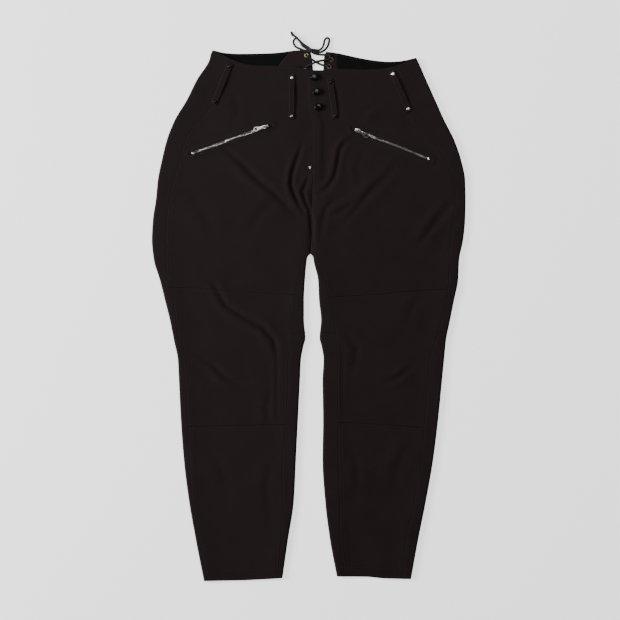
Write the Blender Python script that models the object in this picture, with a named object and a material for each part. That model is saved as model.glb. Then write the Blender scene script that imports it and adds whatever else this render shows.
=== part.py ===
"""Riding breeches in heavy wool, laid flat with the front up.

The garment lies in the XY plane on the table at z = 0, waist toward +Y.
Left and right are as seen from the front. Tables are in millimetres,
and every mesh is made in metres.
"""

import math
from collections import namedtuple

import bmesh
import bpy
import numpy as np
from mathutils import Matrix, Vector
from mathutils.bvhtree import BVHTree

for old in list(bpy.data.objects):
    bpy.data.objects.remove(old, do_unlink=True)

MM = 0.001

# Driving sizes of the cloth
CLOTH = 1.8
SEAM_GAP = 0.3
EDGE_HEIGHT = 7.4
MIDDLE_HEIGHT = 5.6
EDGE_REACH = 34.0
ROLL = 4.8
CROTCH_Y = 122.0
CROTCH_DIP = 64.0
WAIST_RISE_FROM = 440.0
WAIST_RISE_TO = 482.0
BACK_KNEE_Y = -36.0
FLY_STRAIGHT_Y = 478.0
VENT_STRAIGHT_Y = 514.0

# Driving sizes of the trim
LINING = 1.0
LINING_INSET = 1.4
FACING = 1.2
FACING_INSET = 0.8
FACING_LOW_Y = 468.0
FACING_TOP_Y = 525.0
FLY_STEP = 1.9
FLY_WIDTH = 26.0
FLY_END_Y = 276.0
LOOP_WIDTH = 12.6
LOOP_THICK = 1.6
LOOP_PAST_RIVET = 6.5
LOOP_ARCH = 0.9
LOOP_STEP = 5.0
RIVET_RADIUS = 4.0
RIVET_HEIGHT = 1.7
BUTTON_RADIUS = 7.2
BUTTON_HEIGHT = 4.4
SHANK_RADIUS = 2.4
EYELET_OUTER = 4.6
EYELET_INNER = 2.3
EYELET_THICK = 1.0
CHAIN_WIDTH = 6.0
CHAIN_THICK = 1.5
CHAIN_STEP = 5.5
FLY_ZIP_WIDTH = 4.6
FLY_ZIP_THICK = 1.4
FLY_ZIP_LENGTH = 8.0
FLY_ZIP_STEP = 2.0
LACE = 2.8

# Grid of the cloth: columns across a panel and rows along it
FRONT_COLUMNS = 13
EDGE_COLUMNS = 6
STRIP_COLUMNS = 2
TABLE_COLUMNS = 2
SECTION_ROWS = (10, 6, 3, 4, 18)

Side = namedtuple("Side", "y edge seam")
Inner = namedtuple("Inner", "y edge inset")
Line = namedtuple("Line", "x y")
Fold = namedtuple("Fold", "points width rise")
Level = namedtuple("Level", "side front back")
Opening = namedtuple("Opening", "y left right")

# Side edge of the outline and the side seam, from waist to hem
LEFT_SIDE = (
    Side(530, -192, -150), Side(522, -196, -153), Side(510, -199, -157),
    Side(470, -224, -171), Side(430, -244, -186), Side(390, -268, -217),
    Side(350, -284, -246), Side(310, -294, -257), Side(270, -302, -269),
    Side(230, -306, -278), Side(190, -312, -284), Side(150, -314, -285),
    Side(110, -310, -285), Side(70, -298, -280), Side(30, -288, -271),
    Side(-10, -278, -265), Side(-50, -270, -259), Side(-90, -262, -252),
    Side(-130, -260, -246), Side(-210, -256, -241), Side(-290, -250, -238),
    Side(-370, -240, -233), Side(-450, -226, -218), Side(-531, -210, -202),
)
RIGHT_SIDE = (
    Side(516, 212, 156), Side(510, 216, 158), Side(470, 234, 173),
    Side(430, 252, 189), Side(390, 270, 214), Side(350, 290, 246),
    Side(310, 304, 272), Side(270, 312, 288), Side(230, 313, 293),
    Side(190, 312, 289), Side(150, 308, 283), Side(110, 300, 279),
    Side(70, 298, 279), Side(30, 290, 275), Side(-10, 282, 265),
    Side(-50, 274, 253), Side(-90, 270, 240), Side(-130, 266, 237),
    Side(-210, 258, 231), Side(-290, 248, 223), Side(-370, 234, 211),
    Side(-450, 218, 193), Side(-527, 204, 188),
)

# Inner edge of each leg, and how far inside it the inseam lies on top
LEFT_INNER = (
    Inner(122, 3, 0), Inner(116, -3, 2), Inner(104, -5, 5), Inner(70, -8, 14),
    Inner(30, -10, 18), Inner(-10, -10, 20), Inner(-46, -7, 25),
    Inner(-62, -11, 25), Inner(-90, -16, 25), Inner(-130, -18, 23),
    Inner(-210, -22, 23), Inner(-290, -26, 27), Inner(-370, -30, 22),
    Inner(-450, -42, 14), Inner(-526, -53, 9),
)
RIGHT_INNER = (
    Inner(122, 3, 0), Inner(116, 8, 2), Inner(104, 10, 5), Inner(70, 18, 14),
    Inner(30, 20, 21), Inner(-10, 24, 26), Inner(-46, 21, 33),
    Inner(-62, 25, 31), Inner(-90, 29, 29), Inner(-130, 27, 30),
    Inner(-210, 28, 30), Inner(-290, 27, 32), Inner(-370, 32, 29),
    Inner(-450, 42, 21), Inner(-524, 56, 17),
)

# Centre lines above the crotch: the fly's edge in front, the seam and vent behind
FLY_LINE = (
    Line(-4, 492), Line(-3, 478), Line(-1, 430), Line(2, 400), Line(8, 378),
    Line(8, 290), Line(5, 200), Line(3, 122),
)
CENTRE_BACK = (Line(19, 531), Line(16.5, 446), Line(11, 300), Line(3, 122))
VENT = (Opening(440, 0, 0), Opening(489, 9.4, 10.6), Opening(516, 13.2, 11.8), Opening(531, 17.8, 17.6))

# Edges and seams that run across
LEFT_WAIST = (
    Line(-193, 529.4), Line(-174, 520), Line(-142, 506), Line(-110, 498.4),
    Line(-78, 497), Line(-31, 497.6), Line(-2, 489.6), Line(8, 488),
)
RIGHT_WAIST = (
    Line(-9, 484), Line(6, 488.4), Line(33, 488.8), Line(65, 490.6), Line(112, 489.6),
    Line(144, 490.8), Line(176, 497.6), Line(192, 504), Line(213, 513.6),
)
LEFT_BACK_WAIST = (
    Line(-193, 530), Line(-174, 524.8), Line(-142, 522.4), Line(-94, 523),
    Line(-60, 524.8), Line(-30, 529), Line(2, 531),
)
RIGHT_BACK_WAIST = (
    Line(33, 526.6), Line(52, 524.6), Line(74, 520), Line(103, 513.6),
    Line(128, 509.4), Line(160, 506.4), Line(180, 507.4), Line(213, 514),
)
LEFT_KNEE_TOP = (Line(-280, 55), Line(-186, 51), Line(-148, 46), Line(-114, 45), Line(-26, 40))
RIGHT_KNEE_TOP = (Line(40, 36), Line(94, 38), Line(148, 41), Line(201, 47), Line(282, 51))
LEFT_KNEE_LOW = (Line(-244, -224), Line(-153, -222), Line(-44, -219))
RIGHT_KNEE_LOW = (Line(56, -215), Line(120, -218), Line(232, -226))
LEFT_HEM = (Line(-210, -531), Line(-138, -530), Line(-80, -527), Line(-53, -525))
RIGHT_HEM = (Line(56, -522), Line(118, -523), Line(150, -526), Line(204, -527))

# The largest folds: their lines on the cloth, half width, and height of the ridge
FOLDS = (
    Fold(((-166, 328), (-112, 284), (-64, 242), (-38, 216)), 15, 2.2),
    Fold(((-186, 46), (-128, -2), (-70, -52)), 14, 1.7),
    Fold(((-214, -92), (-168, -122), (-128, -134)), 13, 1.5),
    Fold(((88, 352), (62, 336), (54, 304), (44, 268), (24, 248), (10, 240)), 12, 2.0),
    Fold(((172, 298), (122, 244), (76, 194)), 16, 2.2),
    Fold(((288, 226), (252, 182), (218, 138)), 15, 1.8),
    Fold(((198, -112), (158, -134)), 13, 1.4),
    Fold(((-34, 250), (-24, 236), (-14, 216), (-7, 188)), 9, 1.6),
    Fold(((100, 394), (136, 420)), 14, 1.0),
)

# Places of the trim
BELT_LOOPS = (
    ("left_outer", (-159, 496), (-187.8, 425.8)),
    ("left_centre", (-34, 473.2), (-34.6, 396.8)),
    ("right_centre", (42.6, 464.4), (52.2, 397.8)),
    ("right_outer", (167.6, 480.6), (198.2, 411.4)),
)
BUTTONS = (("upper", 10.2, 474.0), ("middle", 14.4, 445.2), ("lower", 18.4, 414.8))
EYELETS = (
    ("left_upper", -5.0, 518.6), ("left_lower", -9.0, 489.4),
    ("right_upper", 44.4, 510.4), ("right_lower", 40.6, 496.0),
)
FACING_OUTER_X = {"left": -42.0, "right": 56.0}
LINING_OUTER_X = {"left": -182.0, "right": 203.0}
LINING_LOW_Y = {"left": 480.0, "right": 474.0}
ZIPS = (
    ("left", (-86.0, 375.4), (-233.6, 322.4), -6.0),
    ("right", (96.8, 368.2), (239.5, 311.6), -10.0),
)
FLY_ZIP_END = (3.6, 292.8)

# Routes of the lace, from the knot or an eyelet onward
KNOT = (4.0, 527.6, 7.0)
KNOT_SIZE = (4.3, 4.2, 2.9)
LACE_ROUTES = (
    ("lace_cross_low", ((-3.4, 517.6, 6.6), (7, 509.6, 4.6), (16.4, 504.2, 3.0),
                        (25.8, 499.4, 4.2), (38.6, 496.6, 6.6))),
    ("lace_cross_high", ((42.8, 510.2, 6.6), (30, 508.6, 6.8), (16, 505.6, 6.9),
                         (8, 502, 6.6), (-5.6, 495.2, 6.3))),
    ("lace_band", ((9.4, 522.6, 4.6), (20, 520.2, 3.4), (32, 519.2, 5.6), (39.6, 518.4, 6.4),
                   (42.8, 514.6, 6.6))),
    ("lace_end_left", ((0.4, 533.4, 7.0), (-8.2, 538.6, 5.8), (-16.6, 545.6, 5.3),
                       (-24.8, 554.2, 5.3), (-29.6, 557.4, 4.2), (-32.6, 559.4, 2.6),
                       (-35.4, 566, 2.0))),
    ("lace_loop_left", ((-1.2, 525.6, 6.4), (-10, 528.2, 5.8), (-18.2, 531.6, 5.4),
                        (-26, 535.6, 3.2), (-31, 543.6, 1.9), (-29.8, 550, 1.9),
                        (-24.8, 553.2, 1.9), (-18.2, 546.8, 1.9), (-12.6, 537.6, 3.2),
                        (-1.6, 530.2, 6.4))),
    ("lace_loop_right", ((9.6, 529.0, 7.2), (20, 528.6, 6.6), (27.4, 535.0, 4.4),
                         (29.8, 543.0, 2.2), (31.6, 550.2, 1.9), (36.6, 553.8, 1.9),
                         (40.6, 550.6, 1.9), (38.6, 540.2, 2.2), (34.4, 532.4, 5.2),
                         (28.4, 526.8, 7.4), (21.4, 524.0, 7.6), (9.6, 524.8, 7.2))),
)

MATERIALS = {
    "wool": ((0.0130, 0.0092, 0.0088), 0.92, 0.0),
    "lining": ((0.0056, 0.0060, 0.0058), 0.80, 0.0),
    "nickel": ((0.58, 0.57, 0.55), 0.28, 1.0),
    "brass": ((0.47, 0.32, 0.13), 0.34, 1.0),
    "button": ((0.006, 0.006, 0.007), 0.16, 0.0),
    "lace": ((0.008, 0.008, 0.009), 0.62, 0.0),
}


def material(name):
    """The plain material of this name, made once."""
    found = bpy.data.materials.get(name)
    if found:
        return found
    colour, roughness, metallic = MATERIALS[name]
    made = bpy.data.materials.new(name)
    made.use_nodes = True
    shader = made.node_tree.nodes["Principled BSDF"]
    shader.inputs["Base Color"].default_value = (*colour, 1.0)
    shader.inputs["Roughness"].default_value = roughness
    shader.inputs["Metallic"].default_value = metallic
    made.diffuse_color = (*colour, 1.0)
    return made


def smoothstep(low, high, value):
    """0 at low, 1 at high, and smooth between."""
    share = min(1.0, max(0.0, (value - low) / (high - low)))
    return share * share * (3.0 - 2.0 * share)


def bell(distance):
    """1 at 0, falling smoothly to 0 past about 2."""
    return math.exp(-distance * distance)


class Curve:
    """A smooth line through a few points, value over place."""

    def __init__(self, places, values):
        order = np.argsort(places)
        self.places = np.array(places, dtype=float)[order]
        self.values = np.array(values, dtype=float)[order]
        slopes = np.diff(self.values) / np.diff(self.places)
        self.tangents = np.empty_like(self.values)
        self.tangents[0] = slopes[0]
        self.tangents[-1] = slopes[-1]
        for i in range(1, len(slopes)):
            before, after = slopes[i - 1], slopes[i]
            same_way = before * after > 0.0
            self.tangents[i] = 2.0 * before * after / (before + after) if same_way else 0.0

    def __call__(self, place):
        last = len(self.places) - 2
        i = int(np.clip(np.searchsorted(self.places, place) - 1, 0, last))
        span = self.places[i + 1] - self.places[i]
        t = (place - self.places[i]) / span
        if t < 0.0:
            return self.values[i] + self.tangents[i] * t * span
        if t > 1.0:
            return self.values[i + 1] + self.tangents[i + 1] * (t - 1.0) * span
        rise = 3.0 * t * t - 2.0 * t ** 3
        start = (t ** 3 - 2.0 * t * t + t) * span * self.tangents[i]
        end = (t ** 3 - t * t) * span * self.tangents[i + 1]
        return self.values[i] * (1.0 - rise) + self.values[i + 1] * rise + start + end


def over_y(rows, column):
    """A table's column as a curve over y."""
    return Curve([row.y for row in rows], [getattr(row, column) for row in rows])


def over_x(rows):
    """An edge that runs across, as y over x."""
    return Curve([row.x for row in rows], [row.y for row in rows])


class Half:
    """The edges and seams of one half of the garment, outward being -1 or +1 in x."""

    def __init__(self, name, outward, side, inner, waist, back_waist, knee_top, knee_low, hem):
        self.name = name
        self.outward = outward
        self.side_edge = over_y(side, "edge")
        self.side_seam = over_y(side, "seam")
        self.leg_edge = over_y(inner, "edge")
        self.inset = over_y(inner, "inset")
        self.fly = over_y(FLY_LINE, "x")
        self.centre_back = over_y(CENTRE_BACK, "x")
        self.opening = over_y(VENT, name)
        self.waist = over_x(waist)
        self.back_waist = over_x(back_waist)
        self.knee_top = over_x(knee_top)
        self.knee_low = over_x(knee_low)
        self.hem = over_x(hem)

    def vent(self, y):
        """The vent's edge at the waist, and the centre back seam below it."""
        open_by = self.opening(y) if y > VENT[0].y else 0.0
        return self.centre_back(y) + self.outward * open_by

    def inner_line(self, y, back=False):
        """Where the cloth ends toward the middle: a centre line, or the leg's inner edge."""
        if y < CROTCH_Y:
            return self.leg_edge(y)
        return self.vent(y) if back else self.fly(y)

    def height(self, x, y):
        """Height of the cloth's outer face on the front."""
        from_side = max(0.0, abs(x - self.side_edge(y)) - ROLL)
        from_inner = max(0.0, abs(x - self.inner_line(y)) - ROLL)
        dip = crotch_dip(y)
        apart = 1.0 - bell(from_side / EDGE_REACH)
        apart *= 1.0 - dip * bell(from_inner / EDGE_REACH)
        apart *= 1.0 - smoothstep(WAIST_RISE_FROM, WAIST_RISE_TO, y)
        level = MIDDLE_HEIGHT + (EDGE_HEIGHT - MIDDLE_HEIGHT) * (1.0 - apart)
        calm = smoothstep(0.0, 16.0, from_side) * (1.0 - dip * (1.0 - smoothstep(0.0, 16.0, from_inner)))
        level += calm * sum(fold_height(fold, x, y) for fold in FOLDS)
        if self.outward > 0:
            lap = 1.0 - smoothstep(FLY_WIDTH * 0.45, FLY_WIDTH, x - self.fly(y))
            level += FLY_STEP * lap * smoothstep(FLY_END_Y - 16.0, FLY_END_Y, y)
        return level

    def normal(self, x, y):
        """Direction away from the cloth's outer face on the front."""
        step = 1.5
        slope_x = (self.height(x + step, y) - self.height(x - step, y)) / (2.0 * step)
        slope_y = (self.height(x, y + step) - self.height(x, y - step)) / (2.0 * step)
        return Vector((-slope_x, -slope_y, 1.0)).normalized()


def crotch_dip(y):
    """0 on the open front, 1 at the crotch and on the legs."""
    return 1.0 - smoothstep(CROTCH_Y, CROTCH_Y + CROTCH_DIP, y)


def fold_height(fold, x, y):
    """A ridge along the fold's line with a shallow trough beside it, fading at its ends."""
    best = None
    points = fold.points
    count = len(points) - 1
    for i in range(count):
        (x0, y0), (x1, y1) = points[i], points[i + 1]
        along_x, along_y = x1 - x0, y1 - y0
        length = math.hypot(along_x, along_y)
        share = ((x - x0) * along_x + (y - y0) * along_y) / length ** 2
        share = min(1.0, max(0.0, share))
        away_x, away_y = x - x0 - share * along_x, y - y0 - share * along_y
        away = math.hypot(away_x, away_y)
        if best is None or away < best[0]:
            signed = (away_x * along_y - away_y * along_x) / length
            best = (away, signed, (i + share) / count)
    away, signed, place = best
    if away > 4.0 * fold.width:
        return 0.0
    fade = math.sin(math.pi * (0.14 + 0.72 * place))
    ridge = bell(away / fold.width)
    trough = 0.5 * bell((signed - 1.7 * fold.width) / fold.width) * bell((away - abs(signed)) / fold.width)
    return fold.rise * fade * (ridge - trough)


LEFT = Half("left", -1, LEFT_SIDE, LEFT_INNER, LEFT_WAIST, LEFT_BACK_WAIST,
            LEFT_KNEE_TOP, LEFT_KNEE_LOW, LEFT_HEM)
RIGHT = Half("right", 1, RIGHT_SIDE, RIGHT_INNER, RIGHT_WAIST, RIGHT_BACK_WAIST,
             RIGHT_KNEE_TOP, RIGHT_KNEE_LOW, RIGHT_HEM)


def rolled(line_x, outward, height, turn, end_turn, y):
    """A point and its normal on a rolled edge: turn 0 is on top, 90 degrees out, 180 below."""
    half = 0.5 * height
    flat_x = line_x - outward * ROLL * math.sin(min(end_turn, math.pi / 2))
    point = Vector((flat_x + outward * ROLL * math.sin(turn), y, half * (1.0 + math.cos(turn))))
    normal = Vector((outward * math.sin(turn) / ROLL, 0.0, math.cos(turn) / half)).normalized()
    return point, normal


def inner_ends(half, y):
    """How far the front's cloth turns over the inner edge, and where it stops being flat."""
    toward = -half.outward
    line_x = half.inner_line(y)
    if y >= CROTCH_Y:
        turn = 0.5 * math.pi * crotch_dip(y)
        flat_x = line_x - toward * ROLL * math.sin(turn)
        return turn, flat_x, 0.5 * math.pi * crotch_dip(y)
    inset = half.inset(y)
    if inset >= ROLL:
        return 0.0, line_x - toward * inset, 0.5 * math.pi
    return math.asin(1.0 - inset / ROLL), line_x - toward * ROLL, 0.5 * math.pi


def front_point(half, across, y):
    """A point of a front panel, across being 0 at the side seam and 1 at the inner seam."""
    toward = -half.outward
    half_gap = 0.5 * SEAM_GAP
    turn, flat_x, end_turn = inner_ends(half, y)
    start_x = half.side_seam(y) + toward * half_gap
    stop_x = flat_x - toward * half_gap
    flat_share = FRONT_COLUMNS / (FRONT_COLUMNS + EDGE_COLUMNS // 2)
    if across <= flat_share or turn == 0.0:
        x = start_x + (stop_x - start_x) * min(1.0, across / flat_share)
        return Vector((x, y, half.height(x, y))), half.normal(x, y)
    share = (across - flat_share) / (1.0 - flat_share)
    gap_turn = half_gap / ROLL * 1.3
    line_x = half.inner_line(y) - toward * half_gap
    top = half.height(line_x - toward * ROLL, y)
    return rolled(line_x, toward, top, max(0.0, turn - gap_turn) * share, end_turn, y)


def back_columns():
    """The stretches of a back panel from the side seam, round below, to the inner seam."""
    stretches = [("side_strip", i / STRIP_COLUMNS) for i in range(STRIP_COLUMNS)]
    stretches += [("side_roll", i / EDGE_COLUMNS) for i in range(EDGE_COLUMNS)]
    stretches += [("below", i / TABLE_COLUMNS) for i in range(TABLE_COLUMNS)]
    stretches += [("inner_roll", i / EDGE_COLUMNS) for i in range(EDGE_COLUMNS)]
    stretches += [("inner_strip", i / STRIP_COLUMNS) for i in range(STRIP_COLUMNS + 1)]
    return stretches


def back_point(half, stretch, y):
    """A point of a back panel in one of its stretches."""
    part, share = stretch
    toward = -half.outward
    half_gap = 0.5 * SEAM_GAP
    edge_x = half.side_edge(y)
    side_flat = edge_x + toward * ROLL
    line_x = half.inner_line(y, back=True)
    if y >= CROTCH_Y:
        line_x -= toward * half_gap
    end_turn = 0.5 * math.pi * crotch_dip(y)
    below_flat = line_x - toward * ROLL * math.sin(end_turn)
    if part == "side_strip":
        x = half.side_seam(y) - toward * half_gap
        x += (side_flat - x) * share
        return Vector((x, y, half.height(x, y))), half.normal(x, y)
    if part == "side_roll":
        return rolled(edge_x, half.outward, half.height(side_flat, y), math.pi * share, math.pi, y)
    if part == "below":
        return Vector((side_flat + (below_flat - side_flat) * share, y, 0.0)), Vector((0, 0, -1))
    top = half.height(half.inner_line(y) - toward * ROLL, y)
    turn, flat_x, _ = inner_ends(half, y)
    gap_turn = half_gap / ROLL * 1.3
    if y >= CROTCH_Y:
        stop_turn = math.pi - max(0.0, end_turn - gap_turn)
    else:
        stop_turn = turn + gap_turn if turn > 0.0 else 0.0
    if part == "inner_roll":
        return rolled(line_x, toward, top, math.pi + (stop_turn - math.pi) * share, end_turn, y)
    if y >= CROTCH_Y or turn > 0.0:
        return rolled(line_x, toward, top, stop_turn, end_turn, y)
    start_x = line_x - toward * ROLL
    stop_x = flat_x + toward * half_gap
    x = start_x + (stop_x - start_x) * share
    return Vector((x, y, half.height(x, y))), half.normal(x, y)


def settle(place, edge, start_y):
    """The y where a column meets an edge that runs across."""
    y = start_y
    for _ in range(12):
        y = edge(place(y))
    return y


def levels(half):
    """Rows of the whole half, hem to waist, with the same y on both sides of each seam."""

    def seam_ends(edge, start_y):
        """Where the side seam and the inseam meet an edge that runs across."""
        side_y = settle(half.side_seam, edge, start_y)
        return Level(side_y, settle(lambda y: inner_ends(half, y)[1], edge, start_y), 0.0)

    ends = [
        seam_ends(half.hem, -525.0),
        seam_ends(half.knee_low, -220.0),
        Level(BACK_KNEE_Y, BACK_KNEE_Y, 0.0),
        seam_ends(half.knee_top, 45.0),
        Level(CROTCH_Y, CROTCH_Y, 0.0),
    ]
    rows = []
    for low, high, count in zip(ends, ends[1:], SECTION_ROWS):
        for i in range(count):
            share = i / count
            inner = low.front + (high.front - low.front) * share
            rows.append(Level(low.side + (high.side - low.side) * share, inner, inner))
    top_side = settle(half.side_seam, half.waist, 500.0)
    count = SECTION_ROWS[-1]
    for i in range(count):
        share = i / (count - 1)
        rows.append(Level(
            CROTCH_Y + (top_side - CROTCH_Y) * i / count,
            CROTCH_Y + (FLY_STRAIGHT_Y - CROTCH_Y) * share,
            CROTCH_Y + (VENT_STRAIGHT_Y - CROTCH_Y) * share,
        ))
    front_top = settle(half.fly, half.waist, 490.0)
    back_top = settle(half.vent, half.back_waist, 528.0)
    rows.append(Level(top_side, front_top, back_top))
    return rows


def share_of(rows, column, i):
    """How far up its panel a row lies, 0 to 1, in one column of the table."""
    low, high = getattr(rows[0], column), getattr(rows[-1], column)
    return (getattr(rows[i], column) - low) / (high - low)


def grid(point_at, columns, rows, inner_column, acrosses, bottoms, tops):
    """Points and normals of a panel: its rows are spread between each column's two ends."""
    made = []
    for i in range(len(rows)):
        side_share = share_of(rows, "side", i)
        inner_share = share_of(rows, inner_column, i)
        row = []
        for column, across, bottom, top in zip(columns, acrosses, bottoms, tops):
            share = side_share + (inner_share - side_share) * across
            row.append(point_at(column, bottom + (top - bottom) * share))
        made.append(row)
    return made


def new_object(name, mesh, material_name):
    """An object with this mesh and material, in the scene."""
    mesh.materials.append(material(material_name))
    made = bpy.data.objects.new(name, mesh)
    bpy.context.scene.collection.objects.link(made)
    return made


def finish(name, shape, material_name, smooth_angle=None):
    """Turns a bmesh in millimetres into an object in metres."""
    bmesh.ops.remove_doubles(shape, verts=shape.verts, dist=0.02)
    bmesh.ops.recalc_face_normals(shape, faces=shape.faces)
    bmesh.ops.scale(shape, vec=(MM, MM, MM), verts=shape.verts)
    mesh = bpy.data.meshes.new(name)
    shape.to_mesh(mesh)
    shape.free()
    if smooth_angle:
        mesh.shade_smooth()
        mesh.set_sharp_from_angle(angle=math.radians(smooth_angle))
    return new_object(name, mesh, material_name)


def wall(name, rows, thickness, material_name):
    """A closed sheet: the rows' points outside, the same points moved in by the thickness."""
    shape = bmesh.new()
    outer = [[shape.verts.new(point) for point, _ in row] for row in rows]
    inner = [[shape.verts.new(point - normal * thickness) for point, normal in row] for row in rows]
    height, width = len(rows), len(rows[0])
    for i in range(height - 1):
        for j in range(width - 1):
            shape.faces.new((outer[i][j], outer[i][j + 1], outer[i + 1][j + 1], outer[i + 1][j]))
            shape.faces.new((inner[i][j], inner[i + 1][j], inner[i + 1][j + 1], inner[i][j + 1]))
    rim = [(0, j) for j in range(width)]
    rim += [(i, width - 1) for i in range(1, height)]
    rim += [(height - 1, j) for j in range(width - 2, -1, -1)]
    rim += [(i, 0) for i in range(height - 2, 0, -1)]
    for (a, b), (c, d) in zip(rim, rim[1:] + rim[:1]):
        shape.faces.new((outer[a][b], inner[a][b], inner[c][d], outer[c][d]))
    return finish(name, shape, material_name, 40)


def front_panel(half, part, rows, bottom_edge, top_edge, bottom_gap, top_gap):
    """One piece of a leg's front between two edges that run across."""
    count = FRONT_COLUMNS + EDGE_COLUMNS // 2
    columns = [i / count for i in range(count + 1)]
    bottoms, tops = [], []
    for column in columns:
        place = lambda y, column=column: front_point(half, column, y)[0].x
        bottoms.append(settle(place, bottom_edge, rows[0].side) + bottom_gap)
        tops.append(settle(place, top_edge, rows[-1].side) - top_gap)
    acrosses = [min(1.0, column * count / FRONT_COLUMNS) for column in columns]
    points = grid(lambda column, y: front_point(half, column, y), columns, rows, "front",
                  acrosses, bottoms, tops)
    return wall(f"{part}_{half.name}", points, CLOTH, "wool")


def back_waist_y(half, stretch):
    """Top end of a back column: the front's waist line on top, the back's own below."""
    part, share = stretch
    on_top = {"side_strip": 1.0, "side_roll": 0.5 + 0.5 * math.cos(math.pi * share)}.get(part, 0.0)

    def edge(x):
        return half.waist(x) * on_top + half.back_waist(x) * (1.0 - on_top)

    return settle(lambda y: back_point(half, stretch, y)[0].x, edge, 520.0)


def back_panel(half, part, rows, bottoms, tops):
    """One piece of a leg's back, round both edges to the seams on top."""
    columns = back_columns()
    fixed = {"side_strip": 0.0, "side_roll": 0.0, "inner_roll": 1.0, "inner_strip": 1.0}
    acrosses = [fixed.get(name, share) for name, share in columns]
    points = grid(lambda column, y: back_point(half, column, y), columns, rows, "back",
                  acrosses, bottoms, tops)
    return wall(f"{part}_{half.name}", points, CLOTH, "wool")


def body_and_legs(half):
    """The five pieces of one half: thigh, knee and shin in front, seat and calf behind."""
    half_gap = 0.5 * SEAM_GAP
    rows = levels(half)
    shin, low_knee, high_knee, low_thigh, _ = np.cumsum(SECTION_ROWS)
    columns = back_columns()
    hem = [settle(lambda y, c=column: back_point(half, c, y)[0].x, half.hem, -525.0) for column in columns]
    waist = [back_waist_y(half, column) for column in columns]
    knee_under = [BACK_KNEE_Y - half_gap] * len(columns)
    knee_over = [BACK_KNEE_Y + half_gap] * len(columns)
    return [
        front_panel(half, "front_thigh", rows[high_knee:], half.knee_top, half.waist, half_gap, 0.0),
        front_panel(half, "front_knee", rows[shin:high_knee + 1], half.knee_low, half.knee_top,
                    half_gap, half_gap),
        front_panel(half, "front_shin", rows[:shin + 1], half.hem, half.knee_low, 0.0, half_gap),
        back_panel(half, "back_seat", rows[low_knee:], knee_over, waist),
        back_panel(half, "back_calf", rows[:low_knee + 1], hem, knee_under),
    ]


def waist_lining(half):
    """The lining on the inside of the back, from the side to the vent's facing."""
    x0 = LINING_OUTER_X[half.name]
    x1 = FACING_OUTER_X[half.name] + half.outward * SEAM_GAP
    low_y = LINING_LOW_Y[half.name]
    top_z = CLOTH + SEAM_GAP + LINING
    columns = 6
    rows = []
    for share in (0.0, 0.5, 1.0):
        row = []
        for j in range(columns + 1):
            x = x0 + (x1 - x0) * j / columns
            y = low_y + (half.back_waist(x) - LINING_INSET - low_y) * share
            row.append((Vector((x, y, top_z)), Vector((0, 0, 1))))
        rows.append(row)
    return wall(f"waist_lining_{half.name}", rows, LINING, "lining")


class Cloth:
    """The finished front, which the trim lies on."""

    def __init__(self, panels):
        self.trees = []
        for panel in panels:
            points = [panel.matrix_world @ vert.co / MM for vert in panel.data.vertices]
            faces = [tuple(face.vertices) for face in panel.data.polygons]
            self.trees.append(BVHTree.FromPolygons(points, faces))

    def top(self, x, y):
        """The highest cloth at this place."""
        hits = [tree.ray_cast(Vector((x, y, 100.0)), Vector((0, 0, -1)))[0] for tree in self.trees]
        return max((hit.z for hit in hits if hit), default=0.0)

    def top_round(self, x, y, radius):
        """The highest cloth inside a circle."""
        heights = [self.top(x, y)]
        for i in range(12):
            turn = 2.0 * math.pi * i / 12
            for reach in (0.5 * radius, radius):
                heights.append(self.top(x + reach * math.cos(turn), y + reach * math.sin(turn)))
        return max(heights)


def ribbon(name, cloth, start, end, width, thickness, arch, step, material_name):
    """A strip laid on the cloth between two points, with its ends cut square."""
    along = Vector((end[0] - start[0], end[1] - start[1], 0.0))
    count = max(2, round(along.length / step))
    across = Vector((-along.y, along.x, 0.0)).normalized() * 0.5 * width
    rows = []
    for i in range(count + 1):
        share = i / count
        middle = Vector((start[0], start[1], 0.0)) + along * share
        row = []
        for side in (1.0, 0.0, -1.0):
            place = middle + across * side
            lift = arch * math.sin(math.pi * share) ** 2
            height = cloth.top_round(place.x, place.y, 0.6 * step) + SEAM_GAP + thickness + lift
            row.append((Vector((place.x, place.y, height)), Vector((0, 0, 1))))
        rows.append(row)
    return wall(name, rows, thickness, material_name)


def turned(name, profile, place, sides, material_name):
    """A round piece from radius and height pairs, axis up at the place, closed at the axis."""
    shape = bmesh.new()
    rings = []
    for radius, height in profile:
        if radius == 0.0:
            rings.append([shape.verts.new((place[0], place[1], place[2] + height))])
            continue
        ring = []
        for i in range(sides):
            turn = 2.0 * math.pi * i / sides
            ring.append(shape.verts.new((place[0] + radius * math.cos(turn),
                                         place[1] + radius * math.sin(turn), place[2] + height)))
        rings.append(ring)
    for low, high in zip(rings, rings[1:]):
        for i in range(sides):
            k = (i + 1) % sides
            if len(low) == 1:
                shape.faces.new((low[0], high[i], high[k]))
            elif len(high) == 1:
                shape.faces.new((low[i], low[k], high[0]))
            else:
                shape.faces.new((low[i], low[k], high[k], high[i]))
    return finish(name, shape, material_name, 40)


def ring(name, outer, inner, thickness, place, sides, material_name):
    """A flat washer with its hole, axis up."""
    shape = bmesh.new()
    loops = []
    for radius, height in ((inner, 0), (outer, 0), (outer, 0.6), (outer - 0.5, 1), (inner + 0.3, 1)):
        loop = []
        for i in range(sides):
            turn = 2.0 * math.pi * i / sides
            loop.append(shape.verts.new((place[0] + radius * math.cos(turn),
                                         place[1] + radius * math.sin(turn),
                                         place[2] + height * thickness)))
        loops.append(loop)
    for low, high in zip(loops, loops[1:] + loops[:1]):
        for i in range(sides):
            k = (i + 1) % sides
            shape.faces.new((low[i], low[k], high[k], high[i]))
    return finish(name, shape, material_name, 40)


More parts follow.
